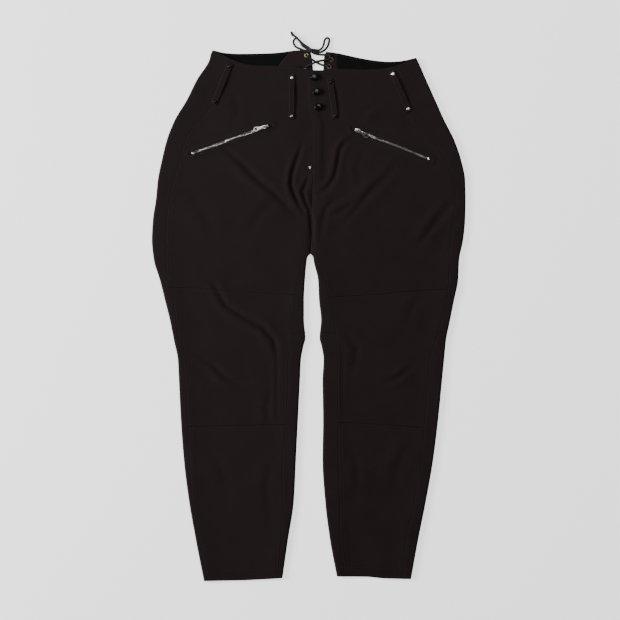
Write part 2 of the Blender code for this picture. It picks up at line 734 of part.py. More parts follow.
def belt_loop(cloth, name, top, low):
    """One belt loop with a rivet at each end."""
    way = Vector((low[0] - top[0], low[1] - top[1])).normalized() * LOOP_PAST_RIVET
    start = (top[0] - way.x, top[1] - way.y)
    end = (low[0] + way.x, low[1] + way.y)
    strip = ribbon(f"belt_loop_{name}", cloth, start, end, LOOP_WIDTH, LOOP_THICK, LOOP_ARCH,
                   LOOP_STEP, "wool")
    under = Cloth([strip])
    profile = ((0.0, 0.0), (RIVET_RADIUS, 0.0), (RIVET_RADIUS, 0.3 * RIVET_HEIGHT),
               (0.7 * RIVET_RADIUS, 0.8 * RIVET_HEIGHT), (0.0, RIVET_HEIGHT))
    for end_name, place in (("top", top), ("low", low)):
        base = under.top_round(place[0], place[1], RIVET_RADIUS) + SEAM_GAP
        turned(f"rivet_{name}_{end_name}", profile, (place[0], place[1], base), 14, "nickel")


def button(cloth, name, x, y):
    """A domed button on a short shank."""
    radius, height = BUTTON_RADIUS, BUTTON_HEIGHT
    profile = ((0.0, 0.0), (SHANK_RADIUS, 0.0), (SHANK_RADIUS, 1.0), (0.86 * radius, 1.1),
               (radius, 1.8), (0.93 * radius, 0.62 * height), (0.62 * radius, 0.9 * height),
               (0.0, height))
    base = cloth.top_round(x, y, SHANK_RADIUS) + SEAM_GAP
    lift = max(0.0, cloth.top_round(x, y, radius) - base - 0.6)
    turned(f"fly_button_{name}", profile, (x, y, base + lift), 20, "button")


def extruded(outline, low, high, holes=()):
    """A bmesh prism from an outline in x and y, with holes through it."""
    shape = bmesh.new()
    edges = []
    for loop in (outline, *holes):
        verts = [shape.verts.new((x, y, low)) for x, y in loop]
        edges += [shape.edges.new((a, b)) for a, b in zip(verts, verts[1:] + verts[:1])]
    filled = bmesh.ops.triangle_fill(shape, edges=edges, use_beauty=True)
    faces = [item for item in filled["geom"] if isinstance(item, bmesh.types.BMFace)]
    grown = bmesh.ops.extrude_face_region(shape, geom=faces, use_keep_orig=True)
    moved = [item for item in grown["geom"] if isinstance(item, bmesh.types.BMVert)]
    bmesh.ops.translate(shape, vec=(0, 0, high - low), verts=moved)
    return shape


# Slider and pull tab, in the zip's own frame: x from the slider along the chain, z up
SLIDER_LENGTH = 11.0
SLIDER_WIDTH = 8.6
SLIDER_THICK = 2.8
BRIDGE_REACH = 3.2
BRIDGE_WIDTH = 2.2
BRIDGE_WALL = 1.0
BRIDGE_SPACE = 2.6
PIN_LIFT = 1.4
PIN = 1.2
WINDOW_WIDTH = 4.2
WINDOW_LENGTH = 4.5
ARM = 1.1
PULL_THICK = 1.2
HEAD_RADIUS = 4.8
HEAD_HOLE = 2.0
HEAD_AT = 20.2
PULL_TILT = 4.0


def slider(name, place, heading):
    """The slider's body with the bridge that carries the pull tab."""
    half_long, half_wide = 0.5 * SLIDER_LENGTH, 0.5 * SLIDER_WIDTH
    nose = 0.62 * half_wide
    outline = ((-half_long, -nose), (half_long - 2.4, -half_wide), (half_long, -0.8 * half_wide),
               (half_long, 0.8 * half_wide), (half_long - 2.4, half_wide), (-half_long, nose))
    body = extruded(outline, 0.0, SLIDER_THICK)
    inner_reach = BRIDGE_REACH - BRIDGE_WALL
    crown = SLIDER_THICK + BRIDGE_SPACE + BRIDGE_WALL
    arch_outline = ((-BRIDGE_REACH, SLIDER_THICK - 1.0), (-inner_reach, SLIDER_THICK - 1.0),
                    (-inner_reach, SLIDER_THICK + BRIDGE_SPACE), (inner_reach, SLIDER_THICK + BRIDGE_SPACE),
                    (inner_reach, SLIDER_THICK - 1.0), (BRIDGE_REACH, SLIDER_THICK - 1.0),
                    (BRIDGE_REACH, crown - 0.9), (BRIDGE_REACH - 0.9, crown),
                    (-BRIDGE_REACH + 0.9, crown), (-BRIDGE_REACH, crown - 0.9))
    arch = extruded(arch_outline, -0.5 * BRIDGE_WIDTH, 0.5 * BRIDGE_WIDTH)
    bmesh.ops.rotate(arch, cent=(0, 0, 0), matrix=Matrix.Rotation(math.pi / 2, 3, "X"), verts=arch.verts)
    made = finish(name, body, "nickel")
    cutter = finish(name + "_bridge", arch, "nickel")
    union = made.modifiers.new("bridge", "BOOLEAN")
    union.operation = "UNION"
    union.object = cutter
    cutter.hide_render = True
    cutter.display_type = "WIRE"
    turn = Matrix.Rotation(heading, 4, "Z")
    for item in (made, cutter):
        item.matrix_world = Matrix.Translation(Vector(place) * MM) @ turn
    return made


def pull_tab(name, place, heading):
    """The pull tab with its window, its round head and hole, origin on the pin."""
    half_neck = 0.5 * WINDOW_WIDTH + ARM
    half_pin = 0.5 * PIN
    outline = [(-half_pin, half_neck), (-half_pin, -half_neck), (WINDOW_LENGTH + 2.2, -half_neck),
               (WINDOW_LENGTH + 4.4, -0.72 * half_neck)]
    for i in range(13):
        turn = math.radians(-120 + 20 * i)
        outline.append((HEAD_AT + HEAD_RADIUS * math.cos(turn), HEAD_RADIUS * math.sin(turn)))
    outline += [(WINDOW_LENGTH + 4.4, 0.72 * half_neck), (WINDOW_LENGTH + 2.2, half_neck)]
    window = ((half_pin, -0.5 * WINDOW_WIDTH), (WINDOW_LENGTH, -0.5 * WINDOW_WIDTH),
              (WINDOW_LENGTH, 0.5 * WINDOW_WIDTH), (half_pin, 0.5 * WINDOW_WIDTH))
    hole = [(HEAD_AT + 0.6 + HEAD_HOLE * math.cos(math.radians(30 * i)),
             HEAD_HOLE * math.sin(math.radians(30 * i))) for i in range(12)]
    shape = extruded(outline, -0.5 * PULL_THICK, 0.5 * PULL_THICK, (window, hole))
    made = finish(name, shape, "nickel")
    tilt = Matrix.Rotation(math.radians(PULL_TILT), 4, "Y")
    turn = Matrix.Rotation(heading, 4, "Z")
    made.matrix_world = Matrix.Translation(Vector(place) * MM) @ turn @ tilt
    return made


def pocket_zip(cloth, name, top, low, swing):
    """A pocket's zip: the chain, the slider at its upper end and the pull tab on it."""
    way = Vector((low[0] - top[0], low[1] - top[1]))
    heading = math.atan2(way.y, way.x)
    way.normalize()
    start_at = 0.5 * SLIDER_LENGTH + SEAM_GAP
    start = (top[0] + way.x * start_at, top[1] + way.y * start_at)
    ribbon(f"zip_chain_{name}", cloth, start, low, CHAIN_WIDTH, CHAIN_THICK, 0.0, CHAIN_STEP, "nickel")
    base = cloth.top_round(top[0], top[1], 0.5 * SLIDER_LENGTH) + SEAM_GAP
    slider(f"zip_slider_{name}", (top[0], top[1], base), heading)
    pin = (top[0], top[1], base + SLIDER_THICK + PIN_LIFT)
    pull_tab(f"zip_pull_{name}", pin, heading + math.radians(swing))


def fly_zip_end(cloth, x, y):
    """The lower end of the fly's zip, which shows beside the fly's edge."""
    reach = 0.5 * FLY_ZIP_LENGTH
    ribbon("fly_zip_end", cloth, (x, y + reach), (x, y - reach), FLY_ZIP_WIDTH, FLY_ZIP_THICK, 0.0,
           FLY_ZIP_STEP, "nickel")


def smooth_route(points, spacing):
    """Points read from a smooth curve through the route's own points."""
    route = [Vector(point) for point in points]
    padded = [2 * route[0] - route[1], *route, 2 * route[-1] - route[-2]]
    dense = []
    for a, b, c, d in zip(padded, padded[1:], padded[2:], padded[3:]):
        for i in range(20):
            t = i / 20
            dense.append(0.5 * (2 * b + (c - a) * t + (2 * a - 5 * b + 4 * c - d) * t * t
                                + (3 * b - a - 3 * c + d) * t ** 3))
    dense.append(route[-1])
    lengths = [0.0]
    for a, b in zip(dense, dense[1:]):
        lengths.append(lengths[-1] + (b - a).length)
    count = max(2, round(lengths[-1] / spacing))
    places = [lengths[-1] * i / count for i in range(count + 1)]
    axes = [np.interp(places, lengths, [point[k] for point in dense]) for k in range(3)]
    return [Vector(point) for point in zip(*axes)]


def cord(name, points):
    """A stretch of lace as a round tube with closed ends."""
    data = bpy.data.curves.new(name, "CURVE")
    data.dimensions = "3D"
    data.bevel_depth = 0.5 * LACE * MM
    data.bevel_resolution = 2
    data.use_fill_caps = True
    spline = data.splines.new("POLY")
    route = smooth_route(points, 2.0 * LACE)
    spline.points.add(len(route) - 1)
    for spot, point in zip(spline.points, route):
        spot.co = (*(point * MM), 1.0)
    data.materials.append(material("lace"))
    made = bpy.data.objects.new(name, data)
    bpy.context.scene.collection.objects.link(made)
    return made


def knot():
    """The knot of the bow, as one rounded solid."""
    shape = bmesh.new()
    bmesh.ops.create_uvsphere(shape, u_segments=12, v_segments=8, radius=1.0)
    bmesh.ops.scale(shape, vec=KNOT_SIZE, verts=shape.verts)
    bmesh.ops.translate(shape, vec=KNOT, verts=shape.verts)
    return finish("lace_knot", shape, "lace", 60)


def vent_facing(half):
    """The facing beside the vent, its inner edge on the vent's edge."""
    top_z = CLOTH + SEAM_GAP + FACING
    outer_x = FACING_OUTER_X[half.name]
    count = 4
    rows = []
    for i in range(count + 1):
        share_up = i / count
        level = FACING_LOW_Y + (FACING_TOP_Y - FACING_LOW_Y) * share_up
        edge_x = half.vent(level) + half.outward * FACING_INSET
        row = []
        for j in range(count + 1):
            x = outer_x + (edge_x - outer_x) * j / count
            y = FACING_LOW_Y + (half.back_waist(x) - FACING_INSET - FACING_LOW_Y) * share_up
            row.append((Vector((x, y, top_z)), Vector((0, 0, 1))))
        rows.append(row)
    return wall(f"vent_facing_{half.name}", rows, FACING, "wool")


def main():
    """Builds the whole garment."""
    panels = body_and_legs(LEFT) + body_and_legs(RIGHT)
    cloth = Cloth(panels)
    for half in (LEFT, RIGHT):
        waist_lining(half)
        vent_facing(half)
    for name, top, low in BELT_LOOPS:
        belt_loop(cloth, name, top, low)
    for name, x, y in BUTTONS:
        button(cloth, name, x, y)
    for name, x, y in EYELETS:
        place = (x, y, CLOTH + SEAM_GAP + FACING + SEAM_GAP)
        ring(f"eyelet_{name}", EYELET_OUTER, EYELET_INNER, EYELET_THICK, place, 16, "brass")
    for name, top, low, swing in ZIPS:
        pocket_zip(cloth, name, top, low, swing)
    fly_zip_end(cloth, *FLY_ZIP_END)
    knot()
    for name, points in LACE_ROUTES:
        cord(name, points)


main()
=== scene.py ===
"""Wool riding breeches laid flat on a pale table, front up, seen from straight above."""

import math
from collections import namedtuple

import bmesh
import bpy
import numpy as np
from mathutils import Matrix, Vector
from mathutils.bvhtree import BVHTree


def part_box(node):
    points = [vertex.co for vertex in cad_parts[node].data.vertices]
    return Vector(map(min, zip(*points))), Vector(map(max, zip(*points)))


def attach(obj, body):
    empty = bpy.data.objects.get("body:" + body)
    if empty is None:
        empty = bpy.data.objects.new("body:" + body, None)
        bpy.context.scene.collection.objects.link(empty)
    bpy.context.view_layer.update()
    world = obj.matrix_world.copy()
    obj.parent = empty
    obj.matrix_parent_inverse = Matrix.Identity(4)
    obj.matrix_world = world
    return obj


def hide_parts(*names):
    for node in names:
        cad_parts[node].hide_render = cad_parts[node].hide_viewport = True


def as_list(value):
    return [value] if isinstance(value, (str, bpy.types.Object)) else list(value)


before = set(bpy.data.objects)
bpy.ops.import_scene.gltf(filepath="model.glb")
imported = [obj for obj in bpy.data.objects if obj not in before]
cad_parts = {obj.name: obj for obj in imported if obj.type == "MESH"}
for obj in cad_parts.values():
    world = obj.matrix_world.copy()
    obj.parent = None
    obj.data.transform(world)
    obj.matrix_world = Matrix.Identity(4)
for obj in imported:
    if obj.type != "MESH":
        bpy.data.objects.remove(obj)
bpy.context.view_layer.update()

MM = 0.001
GARMENT = "garment"

# Camera, framed as the photograph: places in metres, the lens in millimetres
VIEW_CENTRE = (0.002, 0.010)
VIEW_WIDTH = 1.24
LENS = 85.0
SENSOR = 36.0

# Sizes of the cloth, as cut and as it lies, in millimetres
CLOTH = 1.8
SEAM_GAP = 0.3
SEAM_MEET = -0.1
EDGE_HEIGHT = 7.4
MIDDLE_HEIGHT = 5.6
EDGE_REACH = 34.0
ROLL = 4.8
CROTCH_Y = 122.0
CROTCH_DIP = 64.0
WAIST_RISE_FROM = 440.0
WAIST_RISE_TO = 482.0
BACK_KNEE_Y = -36.0
LINING_RISE = 1.0
LINING_CLOTH = 0.7
FACING_CLOTH = 1.2
FLY_STEP = 1.7
FLY_WIDTH = 26.0
FLY_END_Y = 276.0
FLY_UNDER = 11.0
FLY_CORNER_LOW = 470.0
FLY_CORNER_TOP = 484.0
FLY_CORNER = 9.5
FACING_INSET = 0.8
LINING_INSET = 1.4

# Fine form of the cloth: the size of a cell, the steps at a border, and small rises
CELL = 2.8
CROTCH_VALLEY = 1.7
BACK_UNDER = 1.0
BORDER = (0.0, 0.45, 1.0, 1.7, 2.6, 3.9)
ALLOWANCE = 0.22
ALLOWANCE_WIDTH = 11.0
VALLEY_WIDTH = 5.5
CALM_WIDTH = 16.0
ARC_STEPS = 9
BACK_STEPS = 15
WELD = 0.00002

# Borders of the cut pieces: how far each sinks, and how wide its rounding is
SIDE_SEAM = (0.34, 1.7)
SIDE_UNDER = (0.85, 1.9)
INSEAM = (0.45, 1.9)
KNEE_SEAM = (1.7, 2.0)
BACK_SEAM = (0.85, 2.4)
HEM = (0.9, 3.0)
BACK_EDGE = (0.35, 1.6)
INSIDE_EDGE = (0.3, 1.5)

# Whipcord: the pitch of its ribs and yarns, and its tones
RIB_PITCH = 1.35
YARN_PITCH = 0.8
WOOL_DARK = (0.0044, 0.0026, 0.0026)
WOOL_LIGHT = (0.0160, 0.0098, 0.0096)
WOOL_WORN = (0.020, 0.0115, 0.0112)

Side = namedtuple("Side", "y edge seam")
Inner = namedtuple("Inner", "y edge inset")
Line = namedtuple("Line", "x y")
Fold = namedtuple("Fold", "points width depth ridge")
Opening = namedtuple("Opening", "y left right")
Layer = namedtuple("Layer", "piece node inset height thickness ripple columns slot")
Loop = namedtuple("Loop", "name top low metals")
Pocket = namedtuple("Pocket", "name top low hole slider pull sway")
Rows = namedtuple("Rows", "waist_y waist_x back_waist_x")
Lamp = namedtuple("Lamp", "name place size power aim")

# Side edge of the outline and the side seam, from waist to hem
LEFT_SIDE = (
    Side(530, -192, -150), Side(522, -196, -153), Side(510, -199, -157),
    Side(470, -224, -171), Side(430, -244, -186), Side(390, -268, -217),
    Side(350, -284, -246), Side(310, -294, -257), Side(270, -302, -269),
    Side(230, -306, -278), Side(190, -312, -284), Side(150, -314, -285),
    Side(110, -310, -285), Side(70, -298, -280), Side(30, -288, -271),
    Side(-10, -278, -265), Side(-50, -270, -259), Side(-90, -262, -252),
    Side(-130, -260, -246), Side(-210, -256, -241), Side(-290, -250, -238),
    Side(-370, -240, -233), Side(-450, -226, -218), Side(-531, -210, -202),
)
RIGHT_SIDE = (
    Side(516, 212, 156), Side(510, 216, 158), Side(470, 234, 173),
    Side(430, 252, 189), Side(390, 270, 214), Side(350, 290, 246),
    Side(310, 304, 272), Side(270, 312, 288), Side(230, 313, 293),
    Side(190, 312, 289), Side(150, 308, 283), Side(110, 300, 279),
    Side(70, 298, 279), Side(30, 290, 275), Side(-10, 282, 265),
    Side(-50, 274, 253), Side(-90, 270, 240), Side(-130, 266, 237),
    Side(-210, 258, 231), Side(-290, 248, 223), Side(-370, 234, 211),
    Side(-450, 218, 193), Side(-527, 204, 188),
)

# Inner edge of each leg, and how far inside it the inseam lies on top
LEFT_INNER = (
    Inner(122, 3, 0), Inner(116, -3, 2), Inner(104, -5, 5), Inner(70, -8, 14),
    Inner(30, -10, 18), Inner(-10, -10, 20), Inner(-46, -7, 25),
    Inner(-62, -11, 25), Inner(-90, -16, 25), Inner(-130, -18, 23),
    Inner(-210, -22, 23), Inner(-290, -26, 27), Inner(-370, -30, 22),
    Inner(-450, -42, 14), Inner(-526, -53, 9),
)
RIGHT_INNER = (
    Inner(122, 3, 0), Inner(116, 8, 2), Inner(104, 10, 5), Inner(70, 18, 14),
    Inner(30, 20, 21), Inner(-10, 24, 26), Inner(-46, 21, 33),
    Inner(-62, 25, 31), Inner(-90, 29, 29), Inner(-130, 27, 30),
    Inner(-210, 28, 30), Inner(-290, 27, 32), Inner(-370, 32, 29),
    Inner(-450, 42, 21), Inner(-524, 56, 17),
)

# Centre lines above the crotch: the fly's edge in front, the seam and vent behind
FLY_LINE = (
    Line(-4, 492), Line(-3, 478), Line(-1, 430), Line(2, 400), Line(8, 378),
    Line(8, 290), Line(5, 200), Line(3, 122),
)
CENTRE_BACK = (Line(19, 531), Line(16.5, 446), Line(11, 300), Line(3, 122))
VENT = (
    Opening(440, 0, 0), Opening(489, 9.4, 10.6), Opening(516, 13.2, 11.8), Opening(531, 17.8, 17.6),
)

# Edges and seams that run across
LEFT_WAIST = (
    Line(-193, 529.4), Line(-174, 520), Line(-142, 506), Line(-110, 498.4),
    Line(-78, 497), Line(-31, 497.6), Line(-2, 489.6), Line(8, 488),
)
RIGHT_WAIST = (
    Line(-9, 484), Line(6, 488.4), Line(33, 488.8), Line(65, 490.6), Line(112, 489.6),
    Line(144, 490.8), Line(176, 497.6), Line(192, 504), Line(213, 513.6),
)
LEFT_BACK_WAIST = (
    Line(-193, 530), Line(-174, 524.8), Line(-142, 522.4), Line(-94, 523),
    Line(-60, 524.8), Line(-30, 529), Line(2, 531),
)
RIGHT_BACK_WAIST = (
    Line(33, 526.6), Line(52, 524.6), Line(74, 520), Line(103, 513.6),
    Line(128, 509.4), Line(160, 506.4), Line(180, 507.4), Line(213, 514),
)
LEFT_KNEE_TOP = (Line(-280, 55), Line(-186, 51), Line(-148, 46), Line(-114, 45), Line(-26, 40))
RIGHT_KNEE_TOP = (Line(40, 36), Line(94, 38), Line(148, 41), Line(201, 47), Line(282, 51))
LEFT_KNEE_LOW = (Line(-244, -224), Line(-153, -222), Line(-44, -219))
RIGHT_KNEE_LOW = (Line(56, -215), Line(120, -218), Line(232, -226))
LEFT_HEM = (Line(-210, -531), Line(-138, -530), Line(-80, -527), Line(-53, -525))
RIGHT_HEM = (Line(56, -522), Line(118, -523), Line(150, -526), Line(204, -527))

# Creases: their lines on the cloth, half width, depth of the trough and rise of its bank
CREASES = (
    Fold(((-172, 334), (-134, 304), (-112, 280), (-64, 240), (-40, 216)), 10, 2.5, 2.3),
    Fold(((-190, 62), (-166, 20), (-128, -4), (-94, -22), (-70, -48), (-64, -78)), 9, 3.0, 2.6),
    Fold(((-222, -82), (-192, -100), (-168, -122), (-150, -130), (-116, -132)), 9, 1.8, 2.0),
    Fold(((90, 352), (72, 344), (62, 328), (58, 304), (52, 276), (38, 254), (16, 240)), 7, 1.9, 2.2),
    Fold(((174, 300), (150, 270), (122, 244), (96, 212), (74, 192)), 11, 1.4, 1.8),
    Fold(((96, 230), (76, 214), (56, 200), (34, 196)), 9, 1.0, 1.4),
    Fold(((60, 232), (36, 216), (28, 190), (24, 152)), 8, 0.9, 1.2),
    Fold(((290, 228), (262, 196), (238, 164), (218, 138)), 11, 1.1, 1.6),
    Fold(((202, -106), (178, -126), (150, -134)), 9, 1.1, 1.5),
    Fold(((-14, 336), (-26, 306), (-34, 278), (-36, 260), (-29, 240), (-18, 220), (-6, 200)),
         6.4, 3.7, 2.2),
    Fold(((-1, 276), (-6, 260), (-13, 246), (-8, 228), (0, 210), (5, 186), (7, 160), (6, 134)),
         5.6, 3.2, 1.5),
    Fold(((-31, 252), (-22, 248), (-12, 248)), 5, 1.6, 1.0),
    Fold(((100, 396), (118, 410), (140, 422)), 9, 0.6, 1.0),
    Fold(((-60, 236), (-96, 200), (-120, 166)), 14, 0.6, 1.0),
    Fold(((60, 168), (96, 140), (150, 122)), 15, 0.5, 0.9),
    Fold(((-240, 250), (-210, 214), (-196, 170)), 16, 0.6, 1.0),
    Fold(((-74, -150), (-84, -190), (-80, -216)), 10, 0.6, 0.9),
    Fold(((-206, -262), (-176, -300), (-160, -352)), 15, 0.5, 0.9),
    Fold(((-72, -290), (-84, -340), (-78, -398)), 12, 0.5, 0.8),
    Fold(((84, -262), (98, -306), (92, -360)), 13, 0.5, 0.8),
    Fold(((200, -258), (178, -300), (170, -350)), 15, 0.5, 0.9),
    Fold(((72, -30), (96, -66), (92, -110)), 11, 0.7, 1.0),
    Fold(((-63, -62), (-64, -130), (-65, -206)), 5, 0.7, 0.5),
    Fold(((67, -66), (67, -140), (69, -212)), 5, 0.6, 0.4),
    Fold(((-152, 440), (-140, 410), (-150, 384)), 11, 0.5, 0.8),
    Fold(((112, 330), (98, 296), (104, 262)), 12, 0.5, 0.8),
    Fold(((226, 40), (204, 10), (196, -28)), 13, 0.5, 0.9),
)

# Layers on the inside of the back; a height is above the wool and the gap under it
LINING_LAYER = Layer("lining", "waist_lining", LINING_INSET, LINING_RISE, LINING_CLOTH,
                     0.22, 70, "lining")
FACING_LAYER = Layer("facing", "vent_facing", FACING_INSET, FACING_CLOTH, FACING_CLOTH,
                     0.03, 24, "wool")
LINING_ENDS = {"left": (-182.0, 480.0), "right": (203.0, 474.0)}
FACING_LOW = 470.0
FACING_SEAM_X = {"left": -42.0, "right": 56.0}
FACING_SLANT = {"left": 15.0, "right": 0.0}
FACING_SLANT_FROM = 522.0
FACING_SLANT_OVER = 18.0
INSIDE_ROWS = 26

# Belt loops: the rivets' places and metals, top and low, and the cloth's form
BELT_LOOPS = (
    # Each rivet's nickel is given in a painted tone: a painted highlight, painted shade or a painted
    # dark reflection.
    Loop("left_outer", (-159, 496), (-187.8, 425.8), ("darkened", "darkened")),
    Loop("left_centre", (-34, 473.2), (-34.6, 396.8), ("nickel", "dim")),
    Loop("right_centre", (42.6, 464.4), (52.2, 397.8), ("darkened", "darkened")),
    Loop("right_outer", (167.6, 480.6), (198.2, 411.4), ("bright", "nickel")),
)
LOOP_PAST = 6.5
LOOP_WIDTH = 12.6
LOOP_CLOTH = 1.6
LOOP_REST = 1.75
LOOP_LIFT = 0.9
LOOP_SIDE = (0.75, 1.9)
LOOP_END = (0.6, 2.2)
RIVET_SINK = 0.15
RIVET_LEANS = {"top": (0.05, 0.09, 1.0), "low": (-0.07, 0.05, 1.0)}

# Domed fasteners: base radius and height, rings upward as rise and scale, and sides
RIVET_FORM = (3.5, 0.35, ((0.3, 1.0), (0.3, 0.95), (0.28, 0.9), (0.26, 0.84), (0.2, 0.76),
                          (0.12, 0.62), (0.04, 0.4)), 40)
BUTTON_FORM = (2.4, 1.0, ((0.0, 2.7), (0.25, 1.08), (0.45, 1.03), (0.55, 1.0), (0.5, 0.97),
                          (0.42, 0.94), (0.3, 0.92), (0.2, 0.88), (0.16, 0.84), (0.12, 0.76),
                          (0.08, 0.66), (0.04, 0.4)), 56)
DOME_ANGLE = math.radians(48.0)
BEVEL_ANGLE = math.radians(30.0)
SMOOTH_ANGLE = math.radians(50.0)

# Buttons and eyelets: their places, and the way a button leans
BUTTONS = (
    ("upper", 10.2, 474.0, (0.03, 0.02)),
    ("middle", 14.4, 445.2, (-0.04, 0.03)),
    ("lower", 18.4, 414.8, (-0.05, -0.02)),
)
BUTTON_FOOT = 4.5
EYELETS = (
    ("left_upper", -5.0, 518.6), ("left_lower", -9.0, 489.4),
    ("right_upper", 44.4, 510.4), ("right_lower", 40.6, 496.0),
)
EYELET_RING = 3.45
EYELET_WIRE = 1.15
EYELET_FLAT = 0.48
EYELET_Z = 4.1

# Pocket zips: ends of the chain, the hole in the pull, the metals and the chain's sway
POCKETS = (
    # The slider's and pull's nickel is given in a painted tone, a painted highlight or painted shade.
    Pocket("left", (-86.0, 375.4), (-233.6, 322.4), (-106.2, 370.5), "dim", "bright", 1.0),
    Pocket("right", (96.8, 368.2), (239.5, 311.6), (114.5, 357.3), "nickel", "dim", 2.4),
)
HOLE_REACH = 2.4
HOLE_OPENED = 1.42
LIP_PAST_TOP = 11.0
LIP_PAST_LOW = 3.5
LIP_GAP = 3.5
LIP_OPEN = 1.9
LIP_HEIGHT = 1.25
TOOTH = (1.35, 3.5, 1.5)
TOOTH_HEAD = 0.75
TOOTH_PITCH = 2.3
TOOTH_ROW = 0.72
CHAIN_FIRST = 6.2
CHAIN_LAST = 3.0
CHAIN_REST = 1.05
TAPE_WIDTH = 11.0
TAPE_CLOTH = 0.3
TAPE_REST = 0.24
CHAIN_SWAY = 0.45
ZIP_STOP = (2.8, 5.6, 1.7)
ZIP_STOP_REST = 1.15
ZIP_STOP_LEAN = (-0.16, 0.2, 1.0)
FLY_ZIP_BODY = (2.6, 2.4, 1.1)
FLY_ZIP_BENDS = ((2.2, 0.0), (2.0, 0.0), (1.8, -0.4))
FLY_ZIP_END = (3.6, 292.8)
FLY_ZIP_REST = 0.7
FLY_ZIP_LEAN = (-0.35, 0.05, 1.0)

# Stitches: their size, and how far their rows run from each seam and edge
STITCH_LENGTH = 2.7
STITCH_PITCH = 3.7
THREAD = 0.62
SEAM_ROWS = (2.6, 8.6)
KNEE_TOP_ROWS = (2.8, -4.2)
KNEE_LOW_ROWS = (-2.6, -8.4)
HEM_ROW = 19.0
WAIST_ROW = 5.0
BACK_WAIST_ROW = 4.6
POCKET_ROW = 7.4
POCKET_ROW_PAST = 9.0
LOOP_ROW = 4.4
VENT_ROW = (496.0, 520.0, 3.2)
FACING_ROW = (497.0, 518.0, 2.2)
STITCH_ENDS = {
    "left": Rows(488.0, (-186.0, -10.0), (-168.0, -4.0)),
    "right": Rows(486.0, (6.0, 206.0), (40.0, 178.0)),
}
SIDE_ROWS_LOW = -522.0
INSEAM_ROWS = (60.0, -518.0)
KNEE_TOP_Y = 40.0
KNEE_LOW_Y = -222.0
HEM_ROW_Y = -505.0
ROW_SHORT = 4.0
FLY_ROWS = ((466.0, 284.0, 5.0), (412.0, 306.0, 14.6), (270.0, 196.0, 3.0))
FLY_FACING_X = 36.0
FLY_FACING_TOP = 484.0
FLY_FACING_LOW = 330.0
FLY_CURVE = (8.6, 24.3, 44.0)

# The lace: its width, the knot, and each route from the knot or an eyelet onward
LACE = 4.4
LACE_STEP = 1.3
TIP_STEP = 0.8
TIP_RADIUS = 2.2
TIP_SWELL = 0.7
TUBE_SIDES = 14
BRAID_PITCH = 2.2
BRAID_STRANDS = 4.0
KNOT = (4.0, 527.6, 7.0)
KNOT_TURN = 1.8
LACE_ROUTES = (
    ("lace_cross_low", "object", (
        (-3.4, 517.6, 6.6), (7, 509.6, 4.6), (16.4, 504.2, 3.0), (25.8, 499.4, 4.2),
        (38.6, 496.6, 6.6))),
    ("lace_cross_high", "object", (
        (42.8, 510.2, 6.6), (30, 508.6, 6.8), (16, 505.6, 6.9), (8, 502, 6.6),
        (-5.6, 495.2, 6.3))),
    ("lace_band", "object", (
        (5.4, 525.6, 6.2), (10.4, 522.4, 4.8), (20, 520.2, 3.4), (32, 519.2, 5.6),
        (39.6, 518.4, 6.4), (42.8, 514.6, 6.6))),
    ("lace_end_left", "bare", (
        (3.0, 529.4, 7.4), (-0.4, 533.6, 7.0), (-8.2, 538.6, 5.8), (-16.6, 545.6, 5.3),
        (-24.8, 554.2, 5.3), (-29.6, 557.4, 4.2), (-32.6, 559.4, 2.6), (-35.4, 566, 2.0))),
    ("lace_loop_left", "knot", (
        (2.6, 526.4, 6.8), (-2.4, 525.8, 6.4), (-10, 528.2, 5.8), (-18.2, 531.6, 5.4),
        (-26, 535.6, 3.2), (-31, 543.6, 1.9), (-29.8, 550, 1.9), (-24.8, 553.2, 1.9),
        (-18.2, 546.8, 1.9), (-12.6, 537.6, 3.2), (-2.4, 530.4, 6.4), (2.4, 528.4, 6.8))),
    ("lace_loop_right", "knot", (
        (5.6, 528.4, 7.0), (10.4, 529.0, 7.2), (20, 528.6, 6.6), (27.4, 535.0, 4.4),
        (29.8, 543.0, 2.2), (31.6, 550.2, 1.9), (36.6, 553.8, 1.9), (40.6, 550.6, 1.9),
        (38.6, 540.2, 2.2), (34.4, 532.4, 5.2), (28.4, 526.8, 7.4), (21.4, 524.0, 7.6),
        (11.0, 525.0, 7.2), (5.6, 526.8, 7.0))),
)

# Studio, in metres and watts
LAMPS = (
    Lamp("key_softbox", (-3.3, 0.45, 1.6), 1.2, 290.0, (0.0, 0.1, 0.0)),
    Lamp("top_softbox", (0.1, 1.25, 2.1), 0.9, 26.0, (0.0, 0.3, 0.0)),
    Lamp("fill_softbox", (2.4, 0.3, 2.6), 2.0, 9.0, (0.0, 0.0, 0.0)),
)
TABLE_SIZE = 8.0
TABLE_DROP = 0.0004
TABLE_TONE = 0.6
TABLE_GLOW = 1.3
STUDIO_LIGHT = 0.14
WHITE = (1.0, 1.0, 1.0, 1.0)


class Wire:
    """A node's output that takes part in sums written as Python expressions."""

    def __init__(self, finish, socket):
        self.finish = finish
        self.socket = socket

    def _with(self, operation, other, swapped=False):
        values = (other, self) if swapped else (self, other)
        return self.finish.node("ShaderNodeMath", {"operation": operation}, values)

    def __add__(self, other):
        return self._with("ADD", other)

    def __radd__(self, other):
        return self._with("ADD", other, True)

    def __sub__(self, other):
        return self._with("SUBTRACT", other)

    def __rsub__(self, other):
        return self._with("SUBTRACT", other, True)

    def __mul__(self, other):
        return self._with("MULTIPLY", other)

    def __rmul__(self, other):
        return self._with("MULTIPLY", other, True)

    def sine(self):
        return self.finish.node("ShaderNodeMath", {"operation": "SINE"}, (self,))

    def clamped(self, low, high):
        at_least = self._with("MAXIMUM", low)
        return at_least._with("MINIMUM", high)


